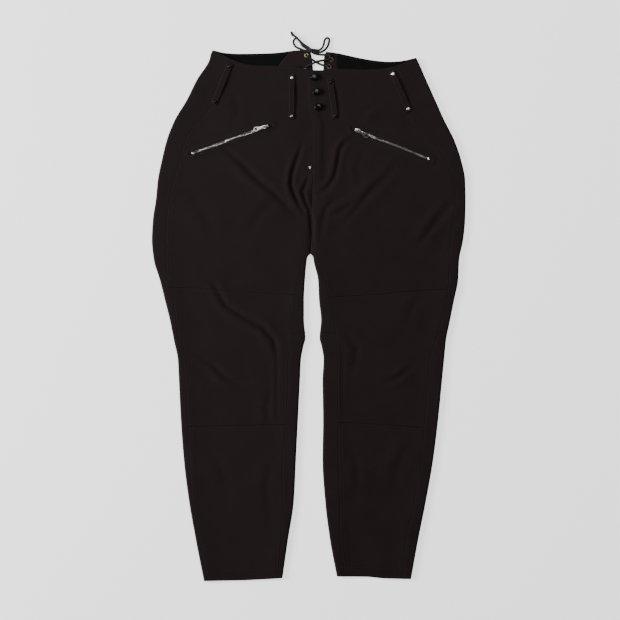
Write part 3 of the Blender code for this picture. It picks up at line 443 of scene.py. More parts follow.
class Finish:
    """A material built from one Principled shader and the nodes that feed it."""

    def __init__(self, name, **constants):
        self.material = bpy.data.materials.new(name)
        self.material.use_nodes = True
        self.tree = self.material.node_tree
        self.shader = self.tree.nodes["Principled BSDF"]
        for socket, value in constants.items():
            self.shader.inputs[socket.replace("_", " ")].default_value = value

    def node(self, kind, settings=None, values=(), out=0):
        """Adds a node: its settings first, then its sockets' values or links."""
        made = self.tree.nodes.new(kind)
        for key, value in (settings or {}).items():
            setattr(made, key, value)
        pairs = values.items() if isinstance(values, dict) else enumerate(values)
        for key, value in pairs:
            if isinstance(value, Wire):
                self.tree.links.new(value.socket, made.inputs[key])
            else:
                made.inputs[key].default_value = value
        return Wire(self, made.outputs[out])

    def feed(self, **wires):
        """Links wires to the shader's own sockets."""
        for socket, wire in wires.items():
            self.tree.links.new(wire.socket, self.shader.inputs[socket.replace("_", " ")])
        return self.material

    def place(self):
        """Object coordinates."""
        return self.node("ShaderNodeTexCoord", out="Object")

    def cloth_map(self):
        """The cloth's own map, in metres across and along the panel."""
        return self.node("ShaderNodeUVMap", {"uv_map": "cloth"})

    def noise(self, place, scale, detail=3.0, roughness=0.55):
        return self.node("ShaderNodeTexNoise", {}, {
            "Vector": place, "Scale": scale, "Detail": detail, "Roughness": roughness})

    def split(self, place):
        """The x and y of a vector."""
        first = self.node("ShaderNodeSeparateXYZ", values=(place,))
        return first, Wire(self, first.socket.node.outputs[1])

    def mix(self, factor, first, second):
        """A colour between two, by a factor."""
        return self.node("ShaderNodeMix", {"data_type": "RGBA"},
                         {0: factor, 6: first, 7: second}, out=2)

    def bump(self, height, distance, strength=1.0):
        return self.node("ShaderNodeBump", {}, {
            "Strength": strength, "Distance": distance, "Height": height})


def wool_finish(name, dark, light, turn):
    """Whipcord: steep ribs on the cloth's own map, a mottled brown, a little loose fibre."""
    made = Finish(name, Roughness=0.9, Metallic=0.0, Sheen_Weight=0.06, Sheen_Roughness=0.4,
                  Sheen_Tint=(0.62, 0.46, 0.44, 1.0), Specular_IOR_Level=0.12)
    cloth = made.cloth_map()
    across, along = made.split(cloth)
    slope = math.radians(turn)
    wander = made.noise(cloth, 260.0, 2.0) * 0.55
    rib_place = across * math.cos(slope) + along * math.sin(slope)
    yarn_place = along * math.cos(slope) - across * math.sin(slope)
    rib = (rib_place * (2.0 * math.pi / (RIB_PITCH * MM)) + wander * 4.0).sine() * 0.5 + 0.5
    yarn = (yarn_place * (2.0 * math.pi / (YARN_PITCH * MM)) + rib * 2.4).sine() * 0.5 + 0.5
    weave = rib * 0.72 + rib * yarn * 0.28
    fuzz = made.noise(cloth, 1900.0, 3.0)
    mottle = made.noise(made.place(), 22.0, 4.0)
    heather = made.noise(cloth, 900.0, 2.0)
    share = (weave * 0.4 + heather * 0.4 + mottle * 0.3 - 0.06).clamped(0.0, 1.0)
    colour = made.mix(share, (*dark, 1.0), (*light, 1.0))
    rough = 0.98 - weave * 0.1
    height = weave * 0.7 + fuzz * 0.42
    normal = made.bump(height, 0.00035, 0.75)
    return made.feed(Base_Color=colour, Roughness=rough, Normal=normal)


def woven_finish(name, dark, light, on_cloth, scale, relief, **constants):
    """Two tones in a fine grain, with the same grain as relief."""
    made = Finish(name, **constants)
    grain = made.noise(made.cloth_map() if on_cloth else made.place(), scale, 2.0)
    tone = made.mix(grain, (*dark, 1.0), (*light, 1.0))
    return made.feed(Base_Color=tone, Normal=made.bump(grain, *relief))


def metal(name, colour, roughness, wear):
    """A plated metal: fine scratches and a little dullness in patches."""
    made = Finish(name, Metallic=1.0, Specular_IOR_Level=0.5)
    place = made.place()
    patches = made.noise(place, 420.0, 4.0, 0.6)
    fine = made.noise(place, 5200.0, 2.0)
    wear_and_glint = [channel * wear for channel in colour]
    tone = made.mix((patches * 1.5 - 0.35).clamped(0.0, 1.0), (*wear_and_glint, 1.0), (*colour, 1.0))
    rough = patches * 0.22 + (roughness - 0.08)
    scratches = made.bump(fine * 0.5 + patches, 0.00006, 0.5)
    return made.feed(Base_Color=tone, Roughness=rough, Normal=scratches)


def chain_metal(name, dull, bright, scale):
    """Plating of the teeth: painted glints in some stretches and painted shade in others."""
    made = Finish(name, Metallic=1.0)
    place = made.place()
    stretches = made.noise(place, scale, 2.0)
    fine = made.noise(place, 2600.0, 2.0)
    # Painted glints: this mask picks the stretches of teeth that take the lighter tone.
    wear_and_glint = ((stretches - 0.5) * 5.0 + (fine - 0.5) * 0.8).clamped(0.0, 1.0)
    tone = made.mix(wear_and_glint, (*dull, 1.0), (*bright, 1.0))
    return made.feed(Base_Color=tone, Roughness=fine * 0.2 + 0.22)


def gloss_finish():
    """Black button plastic, a little mottled."""
    made = Finish("black_gloss", Specular_IOR_Level=0.11)
    mottle = made.noise(made.place(), 900.0, 3.0)
    tone = made.mix(mottle, (0.0016, 0.0016, 0.0018, 1.0), (0.0042, 0.0040, 0.0042, 1.0))
    return made.feed(Base_Color=tone, Roughness=mottle * 0.1 + 0.08)


def braid_finish():
    """Black braided cord: two sets of strands that cross."""
    made = Finish("black_braid", Roughness=0.66, Specular_IOR_Level=0.28)
    turn, along = made.split(made.node("ShaderNodeUVMap", {"uv_map": "cord"}))
    round_it = turn * (2.0 * math.pi * BRAID_STRANDS)
    onward = along * (2.0 * math.pi / (BRAID_PITCH * MM))
    first = (round_it + onward).sine() * 0.5 + 0.5
    second = (round_it - onward).sine() * 0.5 + 0.5
    strands = first * second
    tone = made.mix(strands, (0.0022, 0.0022, 0.0026, 1.0), (0.0095, 0.0095, 0.0105, 1.0))
    return made.feed(Base_Color=tone, Normal=made.bump(strands, 0.00025, 0.7))


wool = wool_finish("wool_whipcord", WOOL_DARK, WOOL_LIGHT, 27)
wool_cross = wool_finish("wool_whipcord_cross", WOOL_DARK, WOOL_LIGHT, 118)
wool_edge = wool_finish("wool_turned_edge", WOOL_DARK, WOOL_WORN, 27)
lining = woven_finish("lining_cotton", (0.0012, 0.0016, 0.0015), (0.0038, 0.0044, 0.0041),
                      True, 2400.0, (0.0002, 0.4), Roughness=0.85, Specular_IOR_Level=0.05)
tape = woven_finish("zip_tape", (0.004, 0.004, 0.004), (0.012, 0.011, 0.011),
                    True, 1800.0, (0.0002, 0.6), Roughness=0.9, Specular_IOR_Level=0.3)
thread = woven_finish("sewing_thread", (0.003, 0.0022, 0.0022), (0.009, 0.0066, 0.0064),
                      False, 2600.0, (0.0001, 0.5), Roughness=0.72, Specular_IOR_Level=0.3)
# Nickel plate in lit and shaded copies of one metal: the lightest copy is a painted highlight, the
# middling dark copy painted shade, the darkest a painted dark reflection of the dark room; plain
# nickel is the plate's own tone.
METALS = {
    "nickel": metal("nickel_plate", (0.46, 0.45, 0.44), 0.30, 0.6),
    "bright": metal("bright_nickel", (0.82, 0.81, 0.79), 0.34, 0.8),
    "darkened": metal("darkened_nickel", (0.022, 0.021, 0.021), 0.34, 0.5),
    "dim": metal("dim_nickel", (0.15, 0.145, 0.14), 0.26, 0.5),
    # Brass in two tones: the lighter goes on one eyelet, the darker on the other three.
    "brass": metal("aged_brass", (0.36, 0.27, 0.12), 0.42, 0.5),
    "dull_brass": metal("dull_brass", (0.16, 0.135, 0.10), 0.5, 0.5),
}
# The right chain's darker tone is painted shade; the lighter stretches of both chains are painted
# glints.
CHAINS = {
    "left": chain_metal("left_chain", (0.22, 0.213, 0.208), (0.66, 0.65, 0.63), 26.0),
    "right": chain_metal("right_chain", (0.09, 0.087, 0.085), (0.66, 0.65, 0.63), 43.0),
}
black_gloss = gloss_finish()
braid = braid_finish()


def smoothstep(low, high, value):
    """0 at low, 1 at high, and smooth between."""
    share = np.clip((value - low) / (high - low), 0.0, 1.0)
    return share * share * (3.0 - 2.0 * share)


def bell(distance):
    """1 at 0, falling smoothly to 0 past about 2."""
    return np.exp(-distance * distance)


class Curve:
    """A smooth line through a few points, value over place, for arrays too."""

    def __init__(self, places, values):
        order = np.argsort(places)
        self.places = np.array(places, dtype=float)[order]
        self.values = np.array(values, dtype=float)[order]
        slopes = np.diff(self.values) / np.diff(self.places)
        before, after = slopes[:-1], slopes[1:]
        same_way = before * after > 0.0
        total = np.where(same_way, before + after, 1.0)
        middle = np.where(same_way, 2.0 * before * after / total, 0.0)
        self.tangents = np.concatenate((slopes[:1], middle, slopes[-1:]))

    def __call__(self, place):
        place = np.asarray(place, dtype=float)
        i = np.clip(np.searchsorted(self.places, place) - 1, 0, len(self.places) - 2)
        span = self.places[i + 1] - self.places[i]
        raw = (place - self.places[i]) / span
        t = np.clip(raw, 0.0, 1.0)
        rise = 3.0 * t * t - 2.0 * t ** 3
        start = (t ** 3 - 2.0 * t * t + t) * span * self.tangents[i]
        end = (t ** 3 - t * t) * span * self.tangents[i + 1]
        inside = self.values[i] * (1.0 - rise) + self.values[i + 1] * rise + start + end
        low = np.minimum(raw, 0.0) * span * self.tangents[i]
        high = np.maximum(raw - 1.0, 0.0) * span * self.tangents[i + 1]
        return inside + low + high


def over_y(rows, column):
    """A table's column as a curve over y."""
    return Curve([row.y for row in rows], [getattr(row, column) for row in rows])


def over_x(rows):
    """An edge that runs across, as y over x."""
    return Curve([row.x for row in rows], [row.y for row in rows])


def crotch_dip(y):
    """0 on the open front, 1 at the crotch and on the legs."""
    return 1.0 - smoothstep(CROTCH_Y, CROTCH_Y + CROTCH_DIP, y)


def to_line(x, y, points):
    """Distance to a broken line, the signed distance, and the place along it from 0 to 1."""
    best = np.full(np.shape(x), 1e9)
    signed = np.zeros(np.shape(x))
    place = np.zeros(np.shape(x))
    count = len(points) - 1
    for i in range(count):
        (x0, y0), (x1, y1) = points[i], points[i + 1]
        along_x, along_y = x1 - x0, y1 - y0
        length = math.hypot(along_x, along_y)
        share = np.clip(((x - x0) * along_x + (y - y0) * along_y) / length ** 2, 0.0, 1.0)
        away_x, away_y = x - x0 - share * along_x, y - y0 - share * along_y
        away = np.hypot(away_x, away_y)
        nearer = away < best
        best = np.where(nearer, away, best)
        signed = np.where(nearer, (away_x * along_y - away_y * along_x) / length, signed)
        place = np.where(nearer, (i + share) / count, place)
    return best, signed, place


def crease_height(crease, x, y):
    """A soft trough along the crease's line with a bank on each side, fading at its ends."""
    away, signed, place = to_line(x, y, crease.points)
    wander = 1.0 + 0.18 * np.sin(place * 9.0 + crease.width)
    fade = np.sin(math.pi * (0.06 + 0.88 * place)) ** 0.8
    trough = -crease.depth * bell(away / (0.62 * crease.width * wander))
    past_end = np.maximum(away ** 2 - signed ** 2, 0.0) ** 0.5
    ends = bell(past_end / crease.width)
    bank = crease.ridge * bell((signed - 1.25 * crease.width) / crease.width) * ends
    far_bank = 0.45 * crease.ridge * bell((signed + 1.2 * crease.width) / crease.width) * ends
    return fade * (trough + bank + far_bank)


def soft_swell(x, y):
    """The cloth's slow unevenness, a few tenths of a millimetre."""
    swell = 0.26 * np.sin(x / 47.0 + 1.1 * np.sin(y / 83.0)) * np.sin(y / 61.0 + 0.4)
    swell += 0.16 * np.sin(x / 23.0 - y / 71.0 + 1.3) * np.sin(y / 39.0 + x / 90.0)
    swell += 0.07 * np.sin(x / 11.0 + y / 17.0) * np.sin(y / 13.0 - x / 29.0 + 2.0)
    return swell


def zip_lips(x, y):
    """The two rolled lips of each pocket's slit, wider apart at the slider."""
    height = np.zeros(np.shape(x))
    for pocket in POCKETS:
        top, low = np.array(pocket.top), np.array(pocket.low)
        length = math.hypot(*(low - top))
        way = (low - top) / length
        away, _, place = to_line(x, y, (top - way * LIP_PAST_TOP, low + way * LIP_PAST_LOW))
        along = place * (length + LIP_PAST_TOP + LIP_PAST_LOW) - LIP_PAST_TOP
        past_gap = away - LIP_GAP - LIP_OPEN * bell(along / 10.0)
        lip = bell((past_gap - 1.7) / 1.5) + 0.45 * bell((past_gap - 4.4) / 3.4)
        height = height + LIP_HEIGHT * lip
    return height


class Half:
    """The edges and seams of one half of the garment, outward being -1 or +1 in x."""

    def __init__(self, name, outward, side, inner, waist, back_waist, knee_top, knee_low, hem):
        self.name = name
        self.outward = outward
        self.side_edge = over_y(side, "edge")
        self.side_seam = over_y(side, "seam")
        self.leg_edge = over_y(inner, "edge")
        self.inset = over_y(inner, "inset")
        self.fly = over_y(FLY_LINE, "x")
        self.centre_back = over_y(CENTRE_BACK, "x")
        self.opening = over_y(VENT, name)
        self.waist = over_x(waist)
        self.back_waist = over_x(back_waist)
        self.knee_top = over_x(knee_top)
        self.knee_low = over_x(knee_low)
        self.hem = over_x(hem)

    def vent(self, y):
        """The vent's edge at the waist, and the centre back seam below it."""
        open_by = np.where(y > VENT[0].y, self.opening(y), 0.0)
        return self.centre_back(y) + self.outward * open_by

    def inner_line(self, y, back=False):
        """Where the cloth ends toward the middle: a centre line, or the leg's inner edge."""
        line = self.vent(y) if back else self.fly(y)
        if not back and self.outward > 0:
            rise = (y - FLY_CORNER_LOW) / (FLY_CORNER_TOP - FLY_CORNER_LOW)
            line = line + FLY_CORNER * np.clip(rise, 0.0, 1.0)
        return np.where(y < CROTCH_Y, self.leg_edge(y), line)

    def inner_turn(self, y):
        """How far the front turns over the inner edge, and where it stops being flat."""
        toward = -self.outward
        line_x = self.inner_line(y)
        above = y >= CROTCH_Y
        above_turn = 0.5 * math.pi * crotch_dip(y)
        inset = self.inset(y)
        below_turn = np.arcsin(np.clip(1.0 - inset / ROLL, 0.0, 1.0))
        turn = np.where(above, above_turn, below_turn)
        above_flat = line_x - toward * ROLL * np.sin(above_turn)
        if self.outward < 0:
            above_flat = above_flat + FLY_UNDER * smoothstep(FLY_END_Y, FLY_END_Y + 20.0, y)
        flat_x = np.where(above, above_flat, line_x - toward * np.maximum(inset, ROLL))
        return turn, flat_x

    def roll_start(self, y):
        """Where the flat cloth begins to turn down toward the middle."""
        reach_out = np.where(y >= CROTCH_Y, ROLL * np.sin(0.5 * math.pi * crotch_dip(y)), ROLL)
        return self.inner_line(y) + self.outward * reach_out

    def height(self, x, y):
        """Height of the cloth's outer face on the front."""
        from_side = np.maximum(0.0, np.abs(x - self.side_edge(y)) - ROLL)
        from_inner = np.maximum(0.0, np.abs(x - self.inner_line(y)) - ROLL)
        dip = crotch_dip(y)
        apart = 1.0 - bell(from_side / EDGE_REACH)
        apart = apart * (1.0 - dip * bell(from_inner / EDGE_REACH))
        apart = apart * (1.0 - smoothstep(WAIST_RISE_FROM, WAIST_RISE_TO, y))
        level = MIDDLE_HEIGHT + (EDGE_HEIGHT - MIDDLE_HEIGHT) * (1.0 - apart)
        calm = smoothstep(0.0, CALM_WIDTH, from_side)
        calm = calm * (1.0 - dip * (1.0 - smoothstep(0.0, CALM_WIDTH, from_inner)))
        relief = sum(crease_height(crease, x, y) for crease in CREASES)
        level = level + calm * (relief + soft_swell(x, y))
        level = level + self.allowances(x, y) + zip_lips(x, y)
        valley = smoothstep(CROTCH_Y - 4.0, CROTCH_Y + 12.0, y)
        valley = valley * (1.0 - smoothstep(FLY_END_Y - 40.0, FLY_END_Y - 14.0, y))
        level = level - CROTCH_VALLEY * bell((x - self.fly(y)) / VALLEY_WIDTH) * valley
        if self.outward > 0:
            lap = 1.0 - smoothstep(FLY_WIDTH * 0.45, FLY_WIDTH, x - self.fly(y))
            level = level + FLY_STEP * lap * smoothstep(FLY_END_Y - 16.0, FLY_END_Y, y)
        return np.maximum(level, 2.0 * CLOTH + SEAM_GAP)

    def allowances(self, x, y):
        """The turned-in cloth that lifts each seam a little from below."""
        side = bell((np.abs(x - self.side_seam(y)) - 3.0) / ALLOWANCE_WIDTH)
        inseam = self.inner_line(y) + self.outward * self.inset(y)
        inner = bell((x - inseam) / ALLOWANCE_WIDTH) * (y < CROTCH_Y - 30.0)
        knee = bell((y - self.knee_top(x)) / ALLOWANCE_WIDTH)
        low_knee = bell((y - self.knee_low(x)) / ALLOWANCE_WIDTH)
        hem = smoothstep(-494.0, -506.0, y)
        return ALLOWANCE * (side + inner + knee + low_knee + 0.6 * hem)


LEFT = Half("left", -1, LEFT_SIDE, LEFT_INNER, LEFT_WAIST, LEFT_BACK_WAIST,
            LEFT_KNEE_TOP, LEFT_KNEE_LOW, LEFT_HEM)
RIGHT = Half("right", 1, RIGHT_SIDE, RIGHT_INNER, RIGHT_WAIST, RIGHT_BACK_WAIST,
             RIGHT_KNEE_TOP, RIGHT_KNEE_LOW, RIGHT_HEM)


def rolled(line_x, outward, height, turn, end_turn, y):
    """Points on a rolled edge: turn 0 is on top, 90 degrees out, 180 below."""
    flat_x = line_x - outward * ROLL * np.sin(np.minimum(end_turn, math.pi / 2))
    x = flat_x + outward * ROLL * np.sin(turn)
    return np.stack((x, y, 0.5 * height * (1.0 + np.cos(turn))), axis=-1)


def stations(width):
    """Shares of a width, closer together at both borders."""
    border = np.array(BORDER) / width
    count = max(2, round((width - 2.0 * BORDER[-1]) / CELL))
    middle = np.linspace(border[-1], 1.0 - border[-1], count + 1)
    return np.concatenate((border[:-1], middle, 1.0 - border[:-1][::-1]))


def front_grid(half, bottom_edge, top_edge, bottom_gap, top_gap):
    """Points of a front panel's outer face, rows from bottom to top."""
    toward = -half.outward
    middle_x = half.outward * 150.0
    middle_y = 0.5 * (bottom_edge(middle_x) + top_edge(middle_x))
    shares = stations(abs(half.side_seam(middle_y) - half.inner_turn(middle_y)[1]))

    def flat_x(share, y):
        start = half.side_seam(y) + toward * SEAM_MEET
        stop = half.inner_turn(y)[1] - toward * SEAM_MEET
        return start + (stop - start) * share

    def ends(share):
        low, high = bottom_edge(middle_x), top_edge(middle_x)
        for _ in range(10):
            low = bottom_edge(flat_x(share, low))
            high = top_edge(flat_x(share, high))
        return low + bottom_gap, high - top_gap

    ups = stations(abs(np.subtract(*ends(0.5))))
    xs, ys = [], []
    for share in shares:
        low, high = ends(share)
        ys.append(low + (high - low) * ups)
        xs.append(flat_x(share, ys[-1]))
    x, y = np.stack(xs, axis=1), np.stack(ys, axis=1)
    flat = np.stack((x, y, half.height(x, y)), axis=-1)
    y = y[:, -1]
    turn, _ = half.inner_turn(y)
    end_turn = np.where(y >= CROTCH_Y, 0.5 * math.pi * crotch_dip(y), 0.5 * math.pi)
    line_x = half.inner_line(y) - toward * SEAM_MEET
    top = half.height(half.roll_start(y), y)
    last = np.maximum(0.0, turn - SEAM_MEET / ROLL)
    arcs = []
    for share in np.linspace(0.0, 1.0, ARC_STEPS)[1:]:
        arc = rolled(line_x, toward, top, last * share, end_turn, y)
        arcs.append(np.where((turn > 0.0)[:, None], arc, flat[:, -1]))
    return np.concatenate((flat, np.stack(arcs, axis=1)), axis=1)


def no_height(x, _y):
    """Stands in for the cloth's height where only a place is wanted."""
    return np.zeros_like(x)


def back_point(half, part, share, y, height):
    """Points of a back panel in one of its stretches, a share along it."""
    toward = -half.outward
    edge_x = half.side_edge(y)
    side_flat = edge_x + toward * ROLL
    line_x = half.inner_line(y, back=True)
    line_x = np.where(y >= CROTCH_Y, line_x - toward * SEAM_MEET, line_x)
    end_turn = 0.5 * math.pi * crotch_dip(y)
    if part == "side_strip":
        start = half.side_seam(y) + toward * BACK_UNDER
        x = start + (side_flat - start) * share
        return np.stack((x, y, height(x, y)), axis=-1)
    if part == "side_roll":
        return rolled(edge_x, half.outward, height(side_flat, y), math.pi * share, math.pi, y)
    if part == "below":
        below_flat = line_x - toward * ROLL * np.sin(end_turn)
        x = side_flat + (below_flat - side_flat) * share
        return np.stack((x, y, np.zeros_like(y)), axis=-1)
    top = height(half.roll_start(y), y)
    turn, flat_x = half.inner_turn(y)
    above_stop = math.pi - np.maximum(0.0, end_turn - SEAM_MEET / ROLL)
    below_stop = np.where(turn > 0.0, turn + SEAM_MEET / ROLL, 0.0)
    stop = np.where(y >= CROTCH_Y, above_stop, below_stop)
    if part == "inner_roll":
        return rolled(line_x, toward, top, math.pi + (stop - math.pi) * share, end_turn, y)
    end = rolled(line_x, toward, top, stop, end_turn, y)
    start_x = line_x - toward * ROLL
    x = start_x + (flat_x - toward * BACK_UNDER - start_x) * share
    on_top = np.stack((x, y, height(x, y)), axis=-1)
    return np.where(((y >= CROTCH_Y) | (turn > 0.0))[:, None], end, on_top)


def back_grid(half, bottom, top):
    """Points of a back panel's outer face, round both edges, rows from bottom to top.

    bottom and top give a column's end from the x of its points and its share on top."""
    stretches = [("side_strip", share) for share in stations(26.0)[:-1]]
    for part, count in (("side_roll", BACK_STEPS), ("below", BACK_STEPS - 2),
                        ("inner_roll", BACK_STEPS)):
        stretches += [(part, share) for share in np.linspace(0.0, 1.0, count)[:-1]]
    stretches += [("inner_strip", share) for share in stations(22.0)]

    def column_end(edge, part, share, guess):
        side_turn = 0.5 + 0.5 * math.cos(math.pi * share)
        on_top = {"side_strip": 1.0, "side_roll": side_turn}.get(part, 0.0)
        y = np.array([guess])
        for _ in range(10):
            y = np.atleast_1d(edge(back_point(half, part, share, y, no_height)[0, 0], on_top))
        return float(y[0])

    ups = stations(column_end(top, "below", 0.5, 300.0) - column_end(bottom, "below", 0.5, -300.0))
    columns = []
    for part, share in stretches:
        low = column_end(bottom, part, share, -300.0)
        high = column_end(top, part, share, 300.0)
        columns.append(back_point(half, part, share, low + (high - low) * ups, half.height))
    return np.stack(columns, axis=1)


def grid_normals(grid):
    """Directions across a grid's face; points that fall together share one."""
    across = np.gradient(grid, axis=1)
    along = np.gradient(grid, axis=0)
    normals = np.cross(across, along)
    lengths = np.linalg.norm(normals, axis=2)
    normals = normals / np.maximum(lengths, 1e-9)[:, :, None]
    for column in range(1, grid.shape[1]):
        together = lengths[:, column] < 1e-6
        normals[together, column] = normals[together, column - 1]
    return normals


def reach(grid, axis, from_end):
    """Distance of each point from a border, measured on the cloth."""
    steps = np.linalg.norm(np.diff(grid, axis=axis), axis=2)
    zeros = np.zeros_like(np.take(steps, [0], axis=axis))
    walked = np.concatenate((zeros, np.cumsum(steps, axis=axis)), axis=axis)
    if from_end:
        walked = np.take(walked, [-1], axis=axis) - walked
    return walked


def rounded_borders(grid, outward, borders):
    """Sinks the borders so that they look turned in: side, inner, bottom and top."""
    normals = grid_normals(grid) * -outward
    sides = [reach(grid, axis, from_end) for axis in (1, 0) for from_end in (False, True)]
    sunk = np.zeros(grid.shape[:2])
    for walked, (drop, width) in zip(sides, borders):
        near = np.clip(1.0 - walked / width, 0.0, 1.0)
        sunk = np.maximum(sunk, drop * near * near)
    sunk = sunk * normals[:, :, 2] ** 4
    shaped = grid - normals * sunk[:, :, None]
    shaped[:, :, 2] = np.maximum(shaped[:, :, 2], 0.0)
    return shaped


def link(data, name):
    """A new object at the origin with this mesh, light or camera."""
    made = bpy.data.objects.new(name, data)
    bpy.context.scene.collection.objects.link(made)
    return made


def cloth_object(name, grid, outward, finish, thickness, bend=0.0):
    """A grid as one sheet with its map in metres, thickened inward, seams and poles closed."""
    rows, columns = grid.shape[:2]
    across = reach(grid, 1, False)
    across = across - across[:, columns // 2][:, None]
    along = reach(grid, 0, False)
    turn = Matrix.Rotation(math.radians(bend), 2)
    shape = bmesh.new()
    layer = shape.loops.layers.uv.new("cloth")
    verts = [[shape.verts.new(point * MM) for point in row] for row in grid]
    for i in range(rows - 1):
        for j in range(columns - 1):
            spots = ((i, j), (i, j + 1), (i + 1, j + 1), (i + 1, j))
            if outward > 0:
                spots = spots[::-1]
            face = shape.faces.new([verts[a][b] for a, b in spots])
            for loop, (a, b) in zip(face.loops, spots):
                loop[layer].uv = turn @ Vector((across[a, b] * MM, along[a, b] * MM))
    bmesh.ops.remove_doubles(shape, verts=shape.verts, dist=WELD)
    mesh = bpy.data.meshes.new(name)
    shape.to_mesh(mesh)
    shape.free()
    mesh.shade_smooth()
    made = link(mesh, name)
    mesh.materials.append(finish)
    solid = made.modifiers.new("thickness", "SOLIDIFY")
    solid.thickness = thickness * MM
    solid.offset = -1.0
    solid.use_even_offset = False
    return made


def sheet_cut(grid):
    """Width, length and area of the flat cloth that a grid was cut from, in metres."""
    width = float(reach(grid, 1, False)[:, -1].max()) * MM
    length = float(reach(grid, 0, False)[-1].max()) * MM
    corner = grid[:-1, :-1]
    first = np.cross(grid[1:, :-1] - corner, grid[:-1, 1:] - corner)
    last = grid[1:, 1:]
    second = np.cross(grid[1:, :-1] - last, grid[:-1, 1:] - last)
    area = 0.5 * (np.linalg.norm(first, axis=2).sum() + np.linalg.norm(second, axis=2).sum())
    return (width, length), min(float(area) * MM * MM, width * length)


def cloth_piece(name, node, grid, outward, borders, finish, rests_on, bend=0.0,
                thickness=CLOTH, slot="wool"):
    """One cut piece: its shell, joined to the garment, with the CAD part it stands for hidden; what
    it rides on is taken and its flat cut worked out, but neither is kept.
    """
    shaped = rounded_borders(grid, outward, borders) if borders else grid
    made = cloth_object(name, shaped, outward, finish, thickness, bend)
    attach(made, GARMENT)
    if node:
        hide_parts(node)
    flat, area = sheet_cut(grid)
    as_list(rests_on)
    return made


def fronts(half):
    """The thigh, knee and shin fronts of one half."""
    side, out = half.name, half.outward
    seat, calf = f"back_seat_{side}", f"back_calf_{side}"
    cuts = (
        ("thigh", half.knee_top, half.waist, (SEAM_MEET, 0.0), (KNEE_SEAM, HEM), [seat], 2.0),
        ("knee", half.knee_low, half.knee_top, (SEAM_MEET, SEAM_MEET), (KNEE_SEAM, KNEE_SEAM),
         [seat, calf], -3.0),
        ("shin", half.hem, half.knee_low, (0.0, SEAM_MEET), (HEM, KNEE_SEAM), [calf], 3.0),
    )
    pieces = []
    for part, bottom, top, gaps, ends, rests_on, bend in cuts:
        grid = front_grid(half, bottom, top, *gaps)
        borders = (SIDE_SEAM, INSEAM, *ends)
        pieces.append(cloth_piece(f"{part}_front_{side}", f"front_{part}_{side}", grid, out,
                                  borders, wool, rests_on, out * bend))
    return pieces


def backs(half):
    """The seat and calf backs of one half, each wrapped round both edges."""
    side, out = half.name, half.outward

    def waist(x, on_top):
        return half.waist(x) * on_top + half.back_waist(x) * (1.0 - on_top)

    def knee_above(_x, _on_top):
        return BACK_KNEE_Y + SEAM_MEET

    def knee_below(_x, _on_top):
        return BACK_KNEE_Y - SEAM_MEET

    def hem(x, _on_top):
        return half.hem(x)

    cuts = (
        ("seat", knee_above, waist, (BACK_SEAM, BACK_EDGE), 6.0),
        ("calf", hem, knee_below, (BACK_EDGE, BACK_SEAM), -5.0),
    )
    pieces = []
    for part, bottom, top, ends, bend in cuts:
        borders = (SIDE_UNDER, SIDE_UNDER, *ends)
        pieces.append(cloth_piece(f"{part}_back_{side}", f"back_{part}_{side}",
                                  back_grid(half, bottom, top), -out, borders, wool, [], out * bend))
    return pieces


def facing_edge(half, y):
    """Where the vent's facing ends and the lining begins, slanting outward below."""
    down = np.clip((FACING_SLANT_FROM - y) / FACING_SLANT_OVER, 0.0, 1.3)
    return FACING_SEAM_X[half.name] + half.outward * FACING_SLANT[half.name] * down


def inside_piece(layer, half, starts, stops, low_y, finish):
    """A flat piece on the inside of the back: starts and stops give its sides from y."""
    ups = np.linspace(0.0, 1.0, INSIDE_ROWS)
    grid = []
    for share in np.linspace(0.0, 1.0, layer.columns):
        x = starts(low_y) + (stops(low_y) - starts(low_y)) * share
        for _ in range(6):
            high = half.back_waist(x) - layer.inset
            x = starts(high) + (stops(high) - starts(high)) * share
        y = low_y + (half.back_waist(x) - layer.inset - low_y) * ups
        x = starts(y) + (stops(y) - starts(y)) * share
        wave = np.sin(x / 7.0 + y / 5.0 + np.sin(x / 19.0)) * np.sin(x / 31.0 - y / 11.0) - 0.6
        z = CLOTH + SEAM_GAP + layer.height + layer.ripple * wave
        grid.append(np.stack((x, y, z), axis=-1))
    return cloth_piece(f"{layer.piece}_{half.name}", f"{layer.node}_{half.name}",
                       np.stack(grid, axis=1), half.outward, (INSIDE_EDGE,) * 4, finish,
                       [f"back_seat_{half.name}"], 0.0, layer.thickness, layer.slot)


def inside(half):
    """The lining and the vent's facing of one half."""
    outer_x, low_y = LINING_ENDS[half.name]

    def outer_end(y):
        return outer_x + 0.0 * y

    def seam(y):
        return facing_edge(half, y)

    def vent_side(y):
        return half.vent(y) + half.outward * FACING_INSET

    return [inside_piece(LINING_LAYER, half, outer_end, seam, low_y, lining),
            inside_piece(FACING_LAYER, half, seam, vent_side, FACING_LOW, wool_edge)]


class Ground:
    """Finished cloth that trim and stitches lie on."""

    def __init__(self, pieces):
        self.trees = []
        for piece in pieces:
            points = [vert.co / MM for vert in piece.data.vertices]
            faces = [tuple(face.vertices) for face in piece.data.polygons]
            self.trees.append(BVHTree.FromPolygons(points, faces))

    def hit(self, x, y):
        """Height and outward direction of the highest cloth at a place."""
        best = (0.0, Vector((0.0, 0.0, 1.0)))
        for tree in self.trees:
            point, normal, _, _ = tree.ray_cast(Vector((x, y, 60.0)), Vector((0.0, 0.0, -1.0)))
            if point and point.z > best[0]:
                best = (point.z, normal if normal.z > 0.0 else -normal)
        return best

    def top(self, x, y, radius=0.0):
        """Height of the highest cloth at a place, or inside a circle."""
        spots = [(x, y)]
        if radius:
            for i in range(12):
                turn = 2.0 * math.pi * i / 12
                dx, dy = radius * math.cos(turn), radius * math.sin(turn)
                spots += [(x + 0.5 * dx, y + 0.5 * dy), (x + dx, y + dy)]
        return max(self.hit(*spot)[0] for spot in spots)


